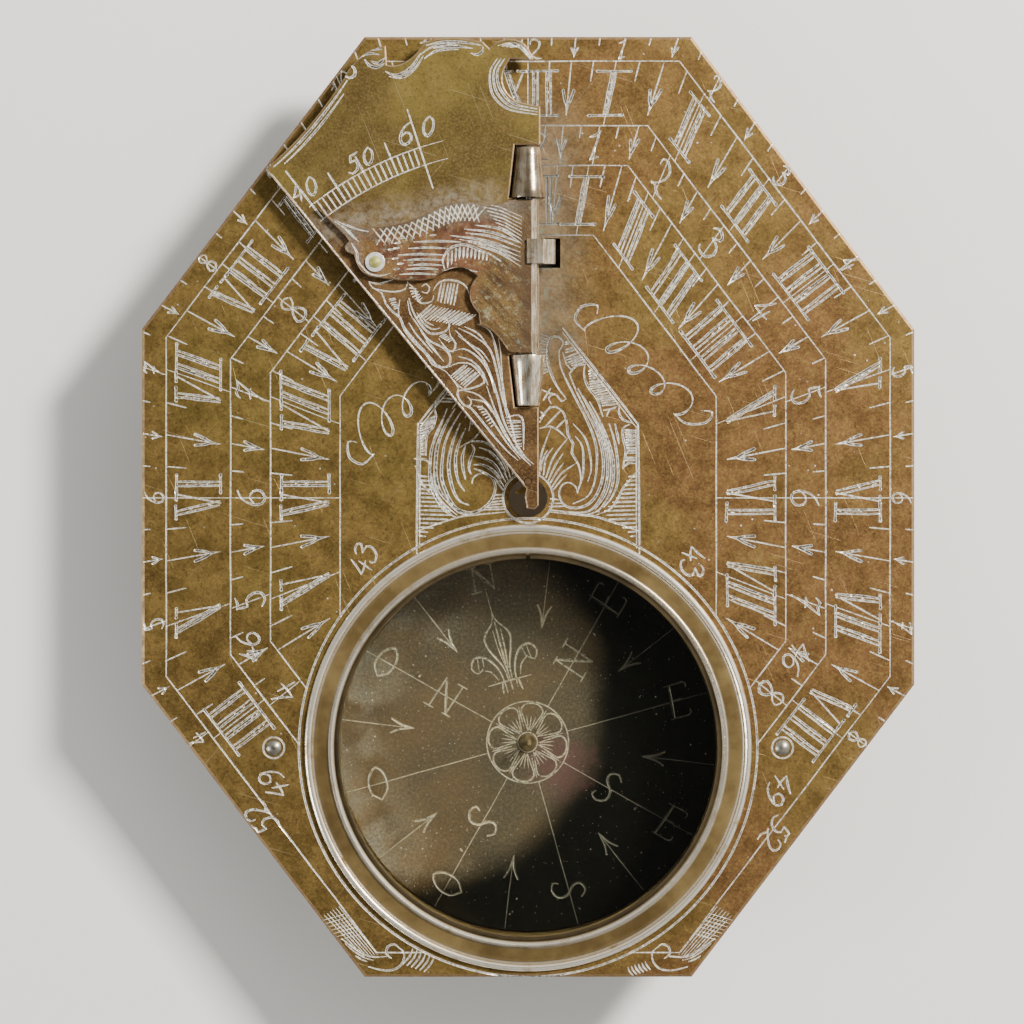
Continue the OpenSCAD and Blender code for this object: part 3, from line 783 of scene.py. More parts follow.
# the letters in a box one unit high
COMPASS_LETTERS = {
    "N": [(0.12, 0, 0, 0.08, 1), (0.17, 0.08, 1, 0.62, 0), (0.12, 0.62, 0, 0.7, 1), (0.1, -0.15, 0, 0.2, 0),
          (0.1, -0.1, 1, 0.2, 1), (0.1, 0.55, 1, 0.9, 1)],
    "E": [(0.17, 0.1, 0, 0.2, 1), (0.1, 0, 0, 0.62, 0, 0.68, 0.16), (0.1, 0.02, 1, 0.7, 1, 0.72, 0.84),
          (0.1, 0.15, 0.52, 0.5, 0.54)],
    "S": [(0.15, 0.6, 0.84, 0.42, 1.0, 0.16, 0.9, 0.16, 0.68, 0.44, 0.42, 0.44, 0.14, 0.16, 0.0, -0.06, 0.1,
           0.0, 0.24)],
    "O": [(0.16, 0.36, 1.0, 0.08, 0.72, 0.06, 0.28, 0.3, 0.0, 0.6, 0.28, 0.64, 0.72, 0.36, 1.0)],
}
LILY = [
    (0.16, 0, 4.4, -0.15, 3.7, -0.85, 2.9, -0.75, 2.1, -0.2, 0.9, -0.1, 0),
    (0.15, 0, 4.4, 0.1, 3.8, 0.7, 2.9, 0.6, 2.1, 0.2, 0.9, 0.15, 0),
    (0.17, 0, 3.7, 0, 0.1),
    (0.12, 0.25, 3.2, 0.2, 2.0, 0.08, 0.8),
    (0.1, -0.25, 3.2, -0.2, 2.0, -0.05, 0.8),
    (0.17, -0.35, -0.3, -0.5, 0.8, -1.1, 1.7, -1.8, 1.85, -2.1, 1.3, -1.8, 0.9, -1.45, 1.1),
    (0.18, 0.35, -0.3, 0.5, 0.8, 1.0, 1.7, 1.7, 1.9, 2.05, 1.4, 1.8, 0.9, 1.45, 1.1),
    (0.1, -0.7, 0.2, -1.0, 0.8, -1.5, 1.0),
    (0.12, 0.7, 0.2, 0.9, 0.8, 1.4, 1.2),
    (0.13, -1.4, 0, 0, 0.02, 1.3, 0),
    (0.16, -0.5, 0, -0.6, -0.7),
    (0.1, -0.35, 0, -0.35, -0.7),
    (0.16, 0.5, 0, 0.6, -0.7),
    (0.12, 0, 0, 0, -0.6),
    (0.08, 1.2, 1.75, 1.35, 1.1),
    (0.08, 1.5, 1.85, 1.6, 1.0),
    (0.08, -1.3, 1.75, -1.35, 1.2),
    (0.08, -1.6, 1.8, -1.7, 1.0),
]


def rose_engraving():
    """Eight winds with their letters, eight arrows between them, a lily to the north and a rosette."""
    art = Engraving(23)

    def polar(turn, r, side=0.0):
        a = math.radians(turn)
        return np.array([COMPASS[0] + r * math.sin(a) + side * math.cos(a),
                         COMPASS[1] + r * math.cos(a) - side * math.sin(a)])

    for i, wind in enumerate(("N", "NE", "E", "SE", "S", "SO", "O", "NO")):
        turn = 45 * i - ROSE_TURN
        start, end = (10.6, 12.4) if wind == "N" else (3.3, 15.0)
        art.line(polar(turn, start), polar(turn, end), 0.09)
        for letter, spot in zip(wind, [12.3] if len(wind) == 1 else [7.4, 12.9]):

            def place(x, y):
                # the letters run out along their ray, and only the single N stands across it
                if wind == "N":
                    return polar(turn, 13.5 + (y - 0.5) * 2.0, (x - 0.33) * 2.4)
                return polar(turn, spot + (x - 0.33) * 2.4, (0.5 - y) * 2.6)
            art.draw(COMPASS_LETTERS[letter], (0.7, 0.7), 1.25, place)
        if len(wind) == 2:
            art.cut([polar(turn, 10.1, 0.25), polar(turn, 10.0, 0.5)], 0.17)
        half = turn + 22.5
        art.line(polar(half, 14.9), polar(half, 9.3), 0.09)
        for s in (-1, 1):
            art.cut([polar(half, 10.9, s * 0.55), polar(half, 10.2, s * 0.2), polar(half, 9.1)], 0.17,
                    (0.9, 0.3))
    art.draw(LILY, (0.5, 0.5), place=lambda x, y: polar(-ROSE_TURN, 5.1 + 1.3 * y, 1.3 * x))
    # rosette: eight round petals with three veins each, and a line between each two
    for i in range(8):
        a = 45 * i + 8
        petal = ((-6, 0.9), (-17, 1.9), (-19, 2.7), (-8, 3.1), (8, 3.1), (19, 2.7), (17, 1.9), (6, 0.9))
        art.cut([polar(a + t, r) for t, r in petal], 0.13)
        for s in (-5, 0, 5):
            art.cut([polar(a + s, 1.0), polar(a + s * 2, 2.1)], 0.08, (0.8, 0.3))
        art.cut([polar(a + 22.5, 1.3), polar(a + 22.5, 2.9)], 0.11)
    for r in (0.78, 3.25):
        art.circle(COMPASS, r, 0.05, 64)
    return art.cuts


# ---------------------------------------------------------------- the gnomon's outlines and engraving
def style_outline():
    return ([(-0.15, 1.4), (-20.2, 26.0)]
            + bend((-19.8, 26.5), (-17.0, 28.8), (-14.2, 33.1), 10)
            + bend((-13.9, 33.7), (-12.6, 35.4), (-11.0, 35.6), 8)
            + bend((-10.9, 34.1), (-9.6, 33.8), (-8.3, 35.4), 8)
            + bend((-7.9, 35.9), (-6.2, 36.5), (-3.5, 35.9), 8) + [(-3.0, 35.4)]
            + bend((-2.5, 35.9), (-0.2, 36.7), (0.4, 34.5), 8)
            + bend((-1.4, 34.6), (-2.8, 32.6), (-0.9, 31.3), 8)
            + [(0.93, 30.9), (0.93, 27.95), (-1.05, 27.95), (-1.49, 23.85), (-0.95, 23.85),
               (-0.95, 11.8), (-1.49, 11.7), (-1.05, 7.7), (0.8, 7.7), (0.8, 0.1), (0.5, -0.2),
               (-0.1, -0.1), (-0.25, 0.75)])


def eye_slot():
    """The curved slot in the style plate that the bird's eye slides in, round the pivot."""
    r, h = math.dist(EYE, PIVOT), 0.45
    a = math.degrees(math.atan2(EYE[1] - PIVOT[1], EYE[0] - PIVOT[0]))
    b = a - 20
    return (arc(PIVOT, r + h, a, b, 14) + arc(arc(PIVOT, r, b, b, 1)[0], h, b, b - 180, 10)[1:-1]
            + arc(PIVOT, r - h, b, a, 14) + arc(EYE, h, a + 180, a, 10)[1:-1])


CROWN = (bend((-12.2, 21.6), (-9.6, 21.6), (-7.5, 22.8), 8)
         + bend((-7.5, 22.8), (-5.4, 24.0), (-3.0, 23.2), 8)[1:])


def bird_outline():
    return (bend((-16.2, 23.0), (-14.6, 21.5), (-12.2, 21.6), 8) + CROWN[1:]
            + [(-1.7, 23.5), (-1.5, 23.65), (0.3, 23.65), (0.3, 11.9), (-1.3, 11.9)]
            + bend((-1.6, 12.1), (-2.6, 13.8), (-3.7, 14.0), 6)
            + bend((-3.8, 14.9), (-5.2, 16.4), (-3.9, 17.8), 7)
            + bend((-4.6, 18.3), (-5.8, 18.8), (-7.3, 17.6), 7)
            + [(-8.2, 17.45), (-10.0, 17.45)]
            + bend((-12.0, 17.7), (-13.1, 17.9), (-13.4, 19.4), 7)
            + bend((-13.9, 19.6), (-14.4, 20.0), (-13.8, 20.5), 5) + [(-14.1, 20.9)])


def right_of(points):
    """The direction square to a curve at each of its points, on its right-hand side."""
    d = np.gradient(np.array(points), axis=0)
    d /= np.linalg.norm(d, axis=1)[:, None]
    return np.stack([d[:, 1], -d[:, 0]], axis=1)


STYLE_RIM = [
    (0.26, -13.8, 34.2, -13.4, 33.8, -13.4, 33.3, -13.8, 33.1, -14.2, 33.3),
    (0.24, -13.5, 34.3, -12.9, 34.8, -12.2, 35.0, -11.5, 34.9),
    (0.22, -13.1, 34.9, -12.4, 35.3, -11.3, 35.3),
    (0.24, -12.6, 34.5, -12.3, 34.1, -11.7, 33.9, -11.1, 34.2),
    (0.3, -12.1, 34.4, -11.6, 34.2, -11.1, 34.6),
    (0.24, -11.0, 33.6, -10.3, 33.3, -9.4, 33.6, -8.8, 34.2, -8.3, 35.0),
    (0.2, -10.7, 33.2, -9.9, 33.1, -9.2, 33.4, -8.6, 34.0, -8.1, 34.8),
    (0.22, -8.3, 34.9, -7.6, 35.4, -6.6, 35.7, -5.7, 35.7, -4.8, 35.4),
    (0.2, -8.0, 34.6, -7.3, 35.1, -6.4, 35.3, -5.4, 35.3),
    (0.22, -3.5, 35.5, -3.5, 35.2, -3.9, 34.9, -4.4, 35.0),
]
STYLE_SCROLLS = [
    # wavy border along the plain strip
    (0.18, -12.3, 17.4, -12.0, 16.9, -11.3, 16.5, -11.0, 15.7, -10.4, 15.0, -9.9, 14.6, -9.5, 13.6, -8.7,
     12.6, -7.9, 11.8, -7.4, 11.0, -6.8, 10.7, -6.3, 10.4),
    (0.18, -6.3, 10.4, -5.8, 9.8, -5.4, 9.2, -5.4, 8.5, -5.0, 7.9, -4.4, 7.6, -3.4, 6.4, -2.6, 5.4, -1.6, 4.3,
     -0.8, 3.6),
    # leaf below the head
    (0.16, -12.3, 17.4, -11.6, 17.2, -10.5, 17.5),
    (0.16, -12.0, 16.9, -11.3, 16.7, -10.3, 16.6, -9.5, 16.8, -9.3, 17.4),
    # leaning leaf
    (0.18, -9.9, 16.0, -10.0, 14.9, -9.5, 13.8, -8.7, 12.8, -7.8, 11.8, -7.0, 10.9, -6.3, 10.8, -6.0, 11.2,
     -6.1, 11.8, -6.6, 12.3, -7.2, 12.6, -7.8, 13.0, -8.5, 14.0, -9.1, 14.9, -9.3, 15.9),
    (0.16, -8.3, 13.6, -7.6, 12.6, -6.8, 11.6),
    (0.14, -7.9, 12.8, -7.0, 11.8, -6.5, 11.2),
    (0.14, -9.2, 14.2, -8.7, 13.4, -8.1, 12.7, -7.4, 11.9),
    # volute
    (0.19, -9.2, 16.1, -8.9, 15.1, -8.3, 14.1, -7.6, 13.4, -6.8, 13.4, -6.2, 13.7, -6.1, 14.2, -6.5, 14.6,
     -7.0, 14.6),
    (0.17, -8.6, 15.0, -8.1, 14.2, -7.4, 13.7, -6.8, 13.8),
    (0.14, -8.3, 14.9, -7.9, 14.3, -7.3, 14.0),
    (0.17, -7.3, 16.7, -7.0, 17.2, -6.4, 17.5, -5.4, 17.4, -4.8, 17.0, -4.6, 16.5),
    (0.18, -9.3, 17.3, -8.7, 16.7, -8.5, 15.9, -8.0, 15.7, -7.4, 15.9, -7.3, 16.3),
    (0.13, -8.2, 17.0, -7.9, 17.2, -7.6, 16.9, -7.8, 16.5, -8.2, 16.6),
    # long leaves that gather towards the foot
    (0.19, -5.6, 13.6, -4.6, 12.6, -3.6, 11.6, -3.0, 10.4, -2.4, 8.6, -1.8, 6.4, -0.6, 4.4, 0.0, 3.6),
    (0.17, -5.4, 13.8, -4.2, 13.2, -3.0, 12.2, -2.4, 10.4, -2.1, 8.8, -1.6, 6.8),
    (0.18, -3.9, 14.1, -3.0, 13.6, -2.6, 12.6, -2.3, 11.2, -2.0, 9.6, -1.7, 7.9),
    (0.14, -5.4, 13.2, -4.4, 12.5, -3.6, 12.0, -3.0, 11.2),
    (0.14, -4.9, 13.9, -3.9, 13.4, -3.2, 12.6),
    (0.15, -2.3, 13.0, -2.1, 11.6, -2.0, 9.6, -1.8, 8.0, -1.4, 6.8, -1.0, 5.2, -0.6, 4.2, 0.4, 3.3),
    (0.18, -5.8, 12.0, -5.0, 12.2, -4.2, 11.8, -3.4, 11.0, -2.9, 10.0, -2.6, 8.8),
    (0.16, -5.4, 11.6, -4.4, 11.3, -3.6, 10.5, -3.1, 9.4),
    (0.15, -6.9, 13.0, -6.3, 12.2, -5.8, 12.0, -5.6, 12.6, -6.0, 13.2, -6.1, 13.8),
    (0.17, -6.1, 10.8, -5.4, 11.1, -4.4, 11.0, -3.6, 10.2, -3.4, 9.6, -4.2, 9.2, -5.0, 9.1, -5.6, 9.6, -6.1,
     10.2),
    # lower volute
    (0.19, -5.4, 8.4, -5.5, 8.8, -5.2, 9.0, -4.6, 8.9, -3.8, 8.6, -3.0, 7.8, -2.4, 6.8, -1.8, 5.6, -1.0, 4.5,
     -0.2, 3.6),
    (0.17, -5.0, 7.8, -4.5, 7.8, -4.4, 8.2, -4.7, 8.5),
    (0.16, -4.2, 7.8, -3.4, 7.6, -2.6, 6.4, -1.6, 4.9, -0.6, 3.7),
    (0.14, -4.4, 8.3, -3.4, 8.1, -2.8, 7.3),
    (0.15, -3.2, 9.3, -2.6, 7.6, -1.9, 6.0, -1.0, 4.4, 0.2, 3.2),
    (0.15, -1.8, 6.9, -0.5, 6.9, -0.35, 4.4),
]


def style_engraving():
    """The scrolled rim, the latitude scale and the scrollwork of the style plate."""
    art = Engraving(31)
    # bright lines inside the scrolled edge
    for shift, w in ((0.3, 0.24), (0.66, 0.2)):
        for pts in (bend((-19.8, 26.5), (-17.0, 28.8), (-14.2, 33.1), 10),
                    bend((-7.9, 35.9), (-6.2, 36.5), (-3.5, 35.9), 8)):
            moved = np.array(pts) + right_of(pts) * shift
            art.cut(list(moved[1:-1] if shift > 0.5 else moved), w, (0.4, 0.4))
    art.draw(STYLE_RIM, (0.4, 0.4))
    # the ring at the top right: arcs outside its opening and nested lines round it
    for i in range(4):
        art.cut([(-2.3 + 0.3 * i, 35.6 - 0.05 * i), (-1.3 + 0.2 * i, 35.8 - 0.1 * i),
                 (-0.4 + 0.1 * i, 35.5 - 0.2 * i), (0.1 + 0.05 * i, 34.9 - 0.15 * i)], 0.17, (0.4, 0.4))
    for i in range(3):
        x, y = -0.28 * i, -0.22 * i
        art.cut([(-1.8 + x, 34.6), (-2.35 + x, 33.7), (-2.35 + x, 32.8 + y), (-1.95 + x, 31.9 + y),
                 (-1.1 + 0.6 * x, 31.1 + y), (0.7, 30.7 + y)], 0.19, (0.4, 0.4))
    # latitude scale: two arcs about the pivot with a tick for each degree from 40 to 60
    for r in (25.7, 27.1):
        art.cut(arc(PIVOT, r, 128.5, 104.0, 24), 0.11, (0.8, 0.4), curved=False)
    for deg in range(21):
        a = math.radians(128 - deg)
        ray = np.array([math.cos(a), math.sin(a)])
        inner, outer = {20: (23.8, 30.2), 0: (25.7, 30.4)}.get(deg, (25.7, 28.4 if deg % 5 == 0 else 27.1))
        art.cut([PIVOT + ray * inner, PIVOT + ray * outer], 0.14 if deg % 5 == 0 else 0.12, (0.8, 0.7))
    for text, a, r, height in (("4", 128.7, 28.5, 1.4), ("0", 126.3, 28.3, 1.4), ("5", 118.8, 28.0, 1.4),
                               ("0", 116.2, 28.0, 1.3), ("6", 109.4, 28.5, 1.7), ("0", 105.7, 28.5, 1.5)):
        x, y = arc(PIVOT, r, a, a, 1)[0]
        digits(art, text, upright(x, y, a - 90 - 10, 0.15), height, 0.19)
    # plain strip beside the style edge, with a line inside it
    along = np.array([-20.05, 24.6]) / math.hypot(20.05, 24.6)
    inward = np.array([along[1], -along[0]])
    foot = np.array([-0.15, 1.4])
    art.line(foot + inward * 0.12 + along * 0.3, foot + inward * 0.12 + along * 31.2, 0.09, (0.5, 0.5))
    art.draw(STYLE_SCROLLS, (0.35, 0.35), 0.82)
    for left, right, count, w in (
            ([(-8.7, 14.6), (-5.2, 14.0)], [(-7.6, 15.6), (-3.9, 14.8)], 14, 0.17),
            ([(-6.8, 17.3), (-5.3, 17.2)], [(-7.1, 15.9), (-5.6, 15.6)], 6, 0.18),
            ([(-10.8, 16.1), (-10.3, 15.2)], [(-10.3, 16.2), (-9.9, 15.3)], 6, 0.13),
            ([(-9.2, 17.0), (-8.9, 16.2), (-8.4, 15.8)], [(-8.7, 16.9), (-8.4, 16.4), (-8.1, 16.1)], 6, 0.13),
            ([(-6.0, 10.2), (-4.8, 9.2)], [(-5.0, 11.0), (-3.6, 10.2)], 8, 0.16),
            ([(-6.9, 13.2), (-6.1, 12.7)], [(-6.5, 13.4), (-5.8, 12.9)], 6, 0.12),
            ([(-4.0, 7.8), (-2.8, 6.1)], [(-3.6, 7.9), (-2.5, 6.3)], 8, 0.13),
            ([(-1.7, 6.8), (-0.9, 4.5)], [(-0.6, 6.8), (-0.5, 4.6)], 10, 0.15)):
        art.hatch(left, right, count, w * 0.8)
    return art.cuts


BEAK_AND_BROW = [
    (0.15, -15.6, 22.6, -14.4, 21.9, -13.2, 21.4, -12.3, 21.2),
    (0.12, -14.9, 22.0, -13.9, 21.3, -13.2, 20.6),
    (0.1, -14.4, 21.7, -13.6, 20.9, -13.0, 20.4),
    (0.16, -13.6, 20.3, -13.2, 19.6, -13.1, 18.9, -12.6, 18.3),
    (0.14, -12.9, 18.6, -12.3, 18.0, -11.4, 17.8, -10.6, 18.0),
]
WING = [
    (0.19, -6.4, 18.2, -6.6, 19.0, -6.3, 19.6, -5.9, 20.0, -5.1, 20.2, -4.5, 20.1, -3.8, 19.8, -3.0, 19.5,
     -2.1, 18.9),
    (0.15, -6.4, 18.2, -5.9, 18.35, -5.1, 18.35, -3.9, 18.1),
]


def bird_engraving():
    """The bird's crown, beak, neck, wing and feathers."""
    art = Engraving(47)
    # cross-hatched band along the crown
    crown, inward = np.array(CROWN), right_of(CROWN)
    count, last = 20, len(crown) - 1

    def crown_point(t, depth):
        return np.array([np.interp(t, range(last + 1), (crown + inward * depth)[:, j]) for j in (0, 1)])
    for i in range(count):
        for lean in (-1, 1):
            t = (i + 0.5) / count * last
            if 0 <= t + lean * 1.3 <= last:
                art.cut([crown_point(t, 0.2), crown_point(t + lean * 1.3, 1.45)], 0.11, (0.7, 0.4))
    art.draw(BEAK_AND_BROW, (0.4, 0.4))
    # neck: long swelling cuts, with short flecks behind the eye
    for x0, x1, y in ((-8.8, -5.2, 20.4), (-9.2, -6.2, 19.9), (-10.0, -6.5, 19.4), (-9.6, -6.5, 19.0),
                      (-9.2, -6.5, 18.6), (-9.4, -6.9, 18.3), (-9.9, -7.1, 17.9)):
        art.cut([(x0, y), ((x0 + x1) / 2, y + 0.07), (x1, y)], 0.17, (0.3, 0.3))
    for x, y in ((-10.3, 20.3), (-10.8, 19.8), (-10.4, 19.9), (-10.5, 19.1), (-10.1, 18.7), (-10.4, 18.3),
                 (-7.6, 20.9), (-10.0, 20.7)):
        art.cut([(x, y), (x + 0.5, y + 0.05)], 0.17, (0.3, 0.3))
    # curled wing with upright strokes
    art.draw(WING, (0.4, 0.4))
    for i in range(11):
        x = -6.15 + 0.3 * i
        top = np.interp(x, (-6.2, -5.4, -4.6, -3.0), (19.5, 20.0, 19.95, 19.4))
        art.cut([(x, top), (x - 0.06, top - 1.1 + 0.06 * i)], 0.14, (0.8, 0.3))
    # long feathers that fan out towards the hinge
    for i, (x0, y0) in enumerate(((-4.1, 21.7), (-4.9, 21.4), (-4.8, 21.1), (-6.0, 20.9), (-5.3, 20.6),
                                  (-4.6, 20.4), (-3.9, 20.1))):
        y1 = 20.7 - 0.36 * i
        art.cut([(x0, y0), ((x0 - 0.6) / 2, (y0 + y1) / 2 + 0.25), (-0.6, y1)], 0.18, (0.3, 0.2))
    for i in range(8):
        y = 23.1 - 0.3 * i
        art.cut([(-3.6 + 0.22 * i, y + 0.3), (-2.2 + 0.1 * i, y), (-0.5, y - 0.75)], 0.1, (0.5, 0.3),
                curved=False)
    return art.cuts


# ---------------------------------------------------------------- materials
class Value:
    """What a node puts out. Sums, products and bands of values are nodes too."""

    def __init__(self, tree, socket):
        self.tree, self.socket = tree, socket

    def __add__(self, other):
        return self.tree.calc("ADD", self, other)

    def __sub__(self, other):
        return self.tree.calc("SUBTRACT", self, other)

    def __rsub__(self, other):
        return self.tree.calc("SUBTRACT", other, self)

    def __mul__(self, other):
        return self.tree.calc("MULTIPLY", self, other)

    def __abs__(self):
        return self.tree.calc("ABSOLUTE", self)

    def band(self, low, high):
        """0 where the value is at low, 1 where it is at high, smooth between."""
        return self.tree.node("MapRange", {"Value": self, "From Min": low, "From Max": high},
                              interpolation_type="SMOOTHSTEP")


class Tree:
    """Adds nodes to an empty node tree."""

    def __init__(self, tree):
        self.tree = tree
        tree.nodes.clear()

    def node(self, kind, inputs, output=0, **settings):
        """Adds a node and gives one of its outputs. inputs says what goes into each socket."""
        n = self.tree.nodes.new("ShaderNode" + kind)
        for key, value in settings.items():
            setattr(n, key, value)
        for key, value in inputs.items():
            if isinstance(value, Value):
                self.tree.links.new(value.socket, n.inputs[key])
            elif n.inputs[key].type == "RGBA":
                n.inputs[key].default_value = (*value, 1)
            else:
                n.inputs[key].default_value = value
        return Value(self, n.outputs[output]) if n.outputs else None

    def calc(self, operation, a, b=0.0):
        return self.node("Math", {0: a, 1: b}, operation=operation)

    def vector(self, operation, a, inputs, output=0):
        return self.node("VectorMath", {0: a, **inputs}, output, operation=operation)


class Look(Tree):
    """Builds one material. Patterns are in millimetres of the part's own frame."""

    def __init__(self, name):
        self.mat = bpy.data.materials.new(name)
        self.mat.use_nodes = True
        super().__init__(self.mat.node_tree)
        self.place = self.vector("SCALE", self.node("TexCoord", {}, "Object"), {"Scale": 1 / MM})

    def noise(self, scale, detail=4.0, rough=0.55, offset=(0, 0, 0), stretch=(1, 1, 1), turn=0.0):
        """Noise moved by offset and turned, then stretched."""
        place = self.place
        if any(offset) or turn:
            for spin, size in ((turn, (1, 1, 1)), (0, stretch)):
                place = self.node("Mapping", {"Vector": place, "Location": offset, "Scale": size,
                                              "Rotation": (0, 0, math.radians(spin))})
        return self.node("TexNoise", {"Vector": place, "Scale": scale, "Detail": detail, "Roughness": rough})

    def specks(self, scale, size):
        """Small round spots, 1 inside and 0 outside."""
        spots = self.node("TexVoronoi", {"Vector": self.place, "Scale": scale}, "Distance")
        return spots.band(size, size * 0.5)

    def mix(self, factor, a, b):
        return self.node("Mix", {0: factor, 6: a, 7: b}, 2, data_type="RGBA")

    def axis(self, which):
        return self.node("SeparateXYZ", {0: self.place}, which)

    def distance(self, point):
        """The distance in plan from a point, in millimetres."""
        away = self.vector("SUBTRACT", self.place, {1: (point[0], point[1], 0)})
        return self.vector("LENGTH", self.vector("MULTIPLY", away, {1: (1, 1, 0)}), {}, "Value")

    def scratches(self, seed):
        """Thin random scratches in three directions, 1 on a scratch."""
        a, b, c = (self.noise(1.0, 1, 0.5, (seed + 3.1 * i, 1.7 * i, 0), (0.12, 9.0, 1.0), turn)
                   .band(0.735, 0.77) for i, turn in enumerate((17, 68, 131)))
        return self.calc("MAXIMUM", self.calc("MAXIMUM", a, b), c)

    def surface(self, shader):
        self.node("OutputMaterial", {"Surface": shader})
        return self.mat

    def finish(self, colour, rough, metallic, bump=None, strength=0.3, reach=0.03):
        """Ends the material. The bump stands reach millimetres high."""
        inputs = {"Base Color": colour, "Roughness": rough, "Metallic": metallic}
        if bump:
            inputs["Normal"] = self.node("Bump", {"Strength": strength, "Distance": reach * MM,
                                                  "Height": bump})
        return self.surface(self.node("BsdfPrincipled", inputs))


OLIVE = (0.168, 0.108, 0.028)
GOLD = (0.262, 0.170, 0.046)
UMBER = (0.085, 0.046, 0.015)
RUST = (0.170, 0.074, 0.032)
SILVER = (0.97, 0.94, 0.86)
VERDIGRIS = (0.20, 0.27, 0.20)


def toned(colour, share):
    """The colour made darker to a share of its strength."""
    return tuple(v * share for v in colour)


def hinge_bloom(k):
    """1 beside the hinge, where the cloth has not reached, and 0 far from it."""
    near = (abs(k.axis(0)) + k.noise(0.6) * 3.5).band(7.5, 2.2)
    along = k.axis(1).band(9.0, 13.0) * k.axis(1).band(33.5, 27.0)
    return near * along


def patina(name, warmth, hinge=False, seed=0.0):
    """Old brass: brown and olive clouds, fine grain, pale specks and scratches."""
    k = Look(name)
    clouds = k.noise(0.11, 5, 0.6, (seed, seed * 0.7, 0))
    patches = k.noise(0.45, 6, 0.65, (3 + seed, 9, 0))
    grain = k.noise(5.5, 5, 0.7)
    c = k.mix(clouds.band(0.3, 0.7) * 0.6 + 0.4, UMBER, OLIVE)
    c = k.mix(patches.band(0.25, 0.8) * 0.35, c, GOLD)
    right = k.axis(0).band(-24.0, 26.0) + (k.noise(0.13, 4, 0.6, (17 + seed, 4, 2)) - 0.5)
    c = k.mix(right.band(0.1, 0.9) * warmth, c, RUST)
    green = k.noise(0.075, 4, 0.55, (seed, 31, 6)).band(0.44, 0.6)
    c = k.mix(green * 0.5, c, (0.17, 0.125, 0.028))
    c = k.mix(grain.band(0.44, 0.66) * 0.8, c, GOLD)
    c = k.mix(k.noise(3.4, 5, 0.75, (5, 5, seed)).band(0.5, 0.66) * 0.75, c, UMBER)
    spots = k.specks(0.9, 0.075) * patches.band(0.45, 0.6)
    c = k.mix(spots * 0.75, c, SILVER)
    marks = k.scratches(seed)
    c = k.mix(marks * 0.3, c, (0.55, 0.47, 0.32))
    if hinge:
        # grey bloom and a little verdigris where the hinge has kept the cloth off
        bloom = hinge_bloom(k) * grain.band(0.1, 0.7)
        c = k.mix(bloom * 0.75, c, (0.26, 0.21, 0.15))
        green = bloom * k.noise(1.4, 4, 0.6, (8, 2, 1)).band(0.55, 0.68)
        c = k.mix(green * 0.7, c, VERDIGRIS)
    rough = patches.band(0.3, 0.7) * 0.16 + 0.36 - marks * 0.08
    return k.finish(c, rough, 0.8, grain + patches * 0.6 - marks * 0.5, 0.35)


def bright_cut(name, colour=SILVER, grime=(0.12, 0.08, 0.04), amount=0.75, rough=0.34, metallic=0.8,
               lit_and_clean=None, top=None):
    """The walls of an engraved line: pale metal with grime in places. They are dimmed where the mask given is
    0: under the grey bloom by the hinge, and as painted shade on the black part of the compass floor.
    """
    k = Look(name)
    dirt = k.noise(4.5, 4, 0.75).band(0.46, 0.62)
    c = k.mix(dirt * amount, colour, grime)
    c = k.mix(k.noise(0.35, 3).band(0.45, 0.7) * 0.35, c, (0.62, 0.52, 0.36))
    if top:
        # the broad cuts are deep enough to hold black flecks along their middle
        deep = k.axis(2).band(top - 0.055, top - 0.08)
        flecks = k.noise(3.2, 3, 0.65, (4, 4, 4)).band(0.4, 0.54)
        c = k.mix(deep * flecks * 0.85, c, (0.05, 0.032, 0.015))
    # dimmed under the hinge's bloom on the dial, and as painted shade on the compass floor
    if lit_and_clean:
        c = k.mix(lit_and_clean(k), toned(colour, 0.3), c)
    return k.finish(c, dirt * 0.25 + rough, metallic, k.noise(9.0, 4, 0.7), 0.35, 0.02)


def worn_edge(name, colour=(0.31, 0.2, 0.085)):
    """Rubbed edges: bare brass showing through brown. Given a dark colour, as on the bird, the edges stand
    for painted shade.
    """
    k = Look(name)
    wear = k.noise(1.1, 5, 0.7).band(0.35, 0.65)
    c = k.mix(wear, (0.20, 0.115, 0.06), colour)
    c = k.mix(k.noise(6.0, 4, 0.7).band(0.5, 0.7) * 0.35, c, (0.5, 0.37, 0.19))
    return k.finish(c, 0.5 - wear * 0.15, 0.75, k.noise(5.0, 4, 0.7))


def turned_brass(name, centre, dark, mid, light, rough, lines, highlight_rings=(), metallic=0.85):
    """Lathe-turned brass: fine rings about a centre. Near-white rings can be added as painted highlights,
    partly the bare brass of rubbed edges; each is given by its radius and half width.
    """
    k = Look(name)
    r = k.distance(centre)
    wobble = r + k.noise(0.25, 3) * 0.25
    fine = k.node("TexNoise", {"W": wobble, "Scale": lines, "Detail": 5}, noise_dimensions="1D")
    clouds = k.noise(0.22, 5, 0.62, (0, 6, 1))
    c = k.mix(clouds.band(0.32, 0.68), dark, mid)
    c = k.mix(fine.band(0.42, 0.68) * 0.6, c, light)
    c = k.mix(k.noise(2.6, 5, 0.7).band(0.5, 0.75) * 0.4, c, dark)
    rough = clouds * 0.2 + (rough - 0.1)
    shine = None
    # painted highlights: smoother near-white rings at the given radii, partly rubbed edges
    for at, half in highlight_rings:
        near = abs(r - at).band(half, half * 0.35)
        shine = k.calc("MAXIMUM", shine, near) if shine else near
    if shine:
        shine = shine * k.noise(0.8, 4, 0.6, (2, 2, 2)).band(0.2, 0.5)
        c = k.mix(shine * 0.85, c, (0.92, 0.86, 0.74))
        rough = rough - shine * 0.14
    return k.finish(c, rough, metallic, fine + k.noise(5.0) * 0.4, 0.25)


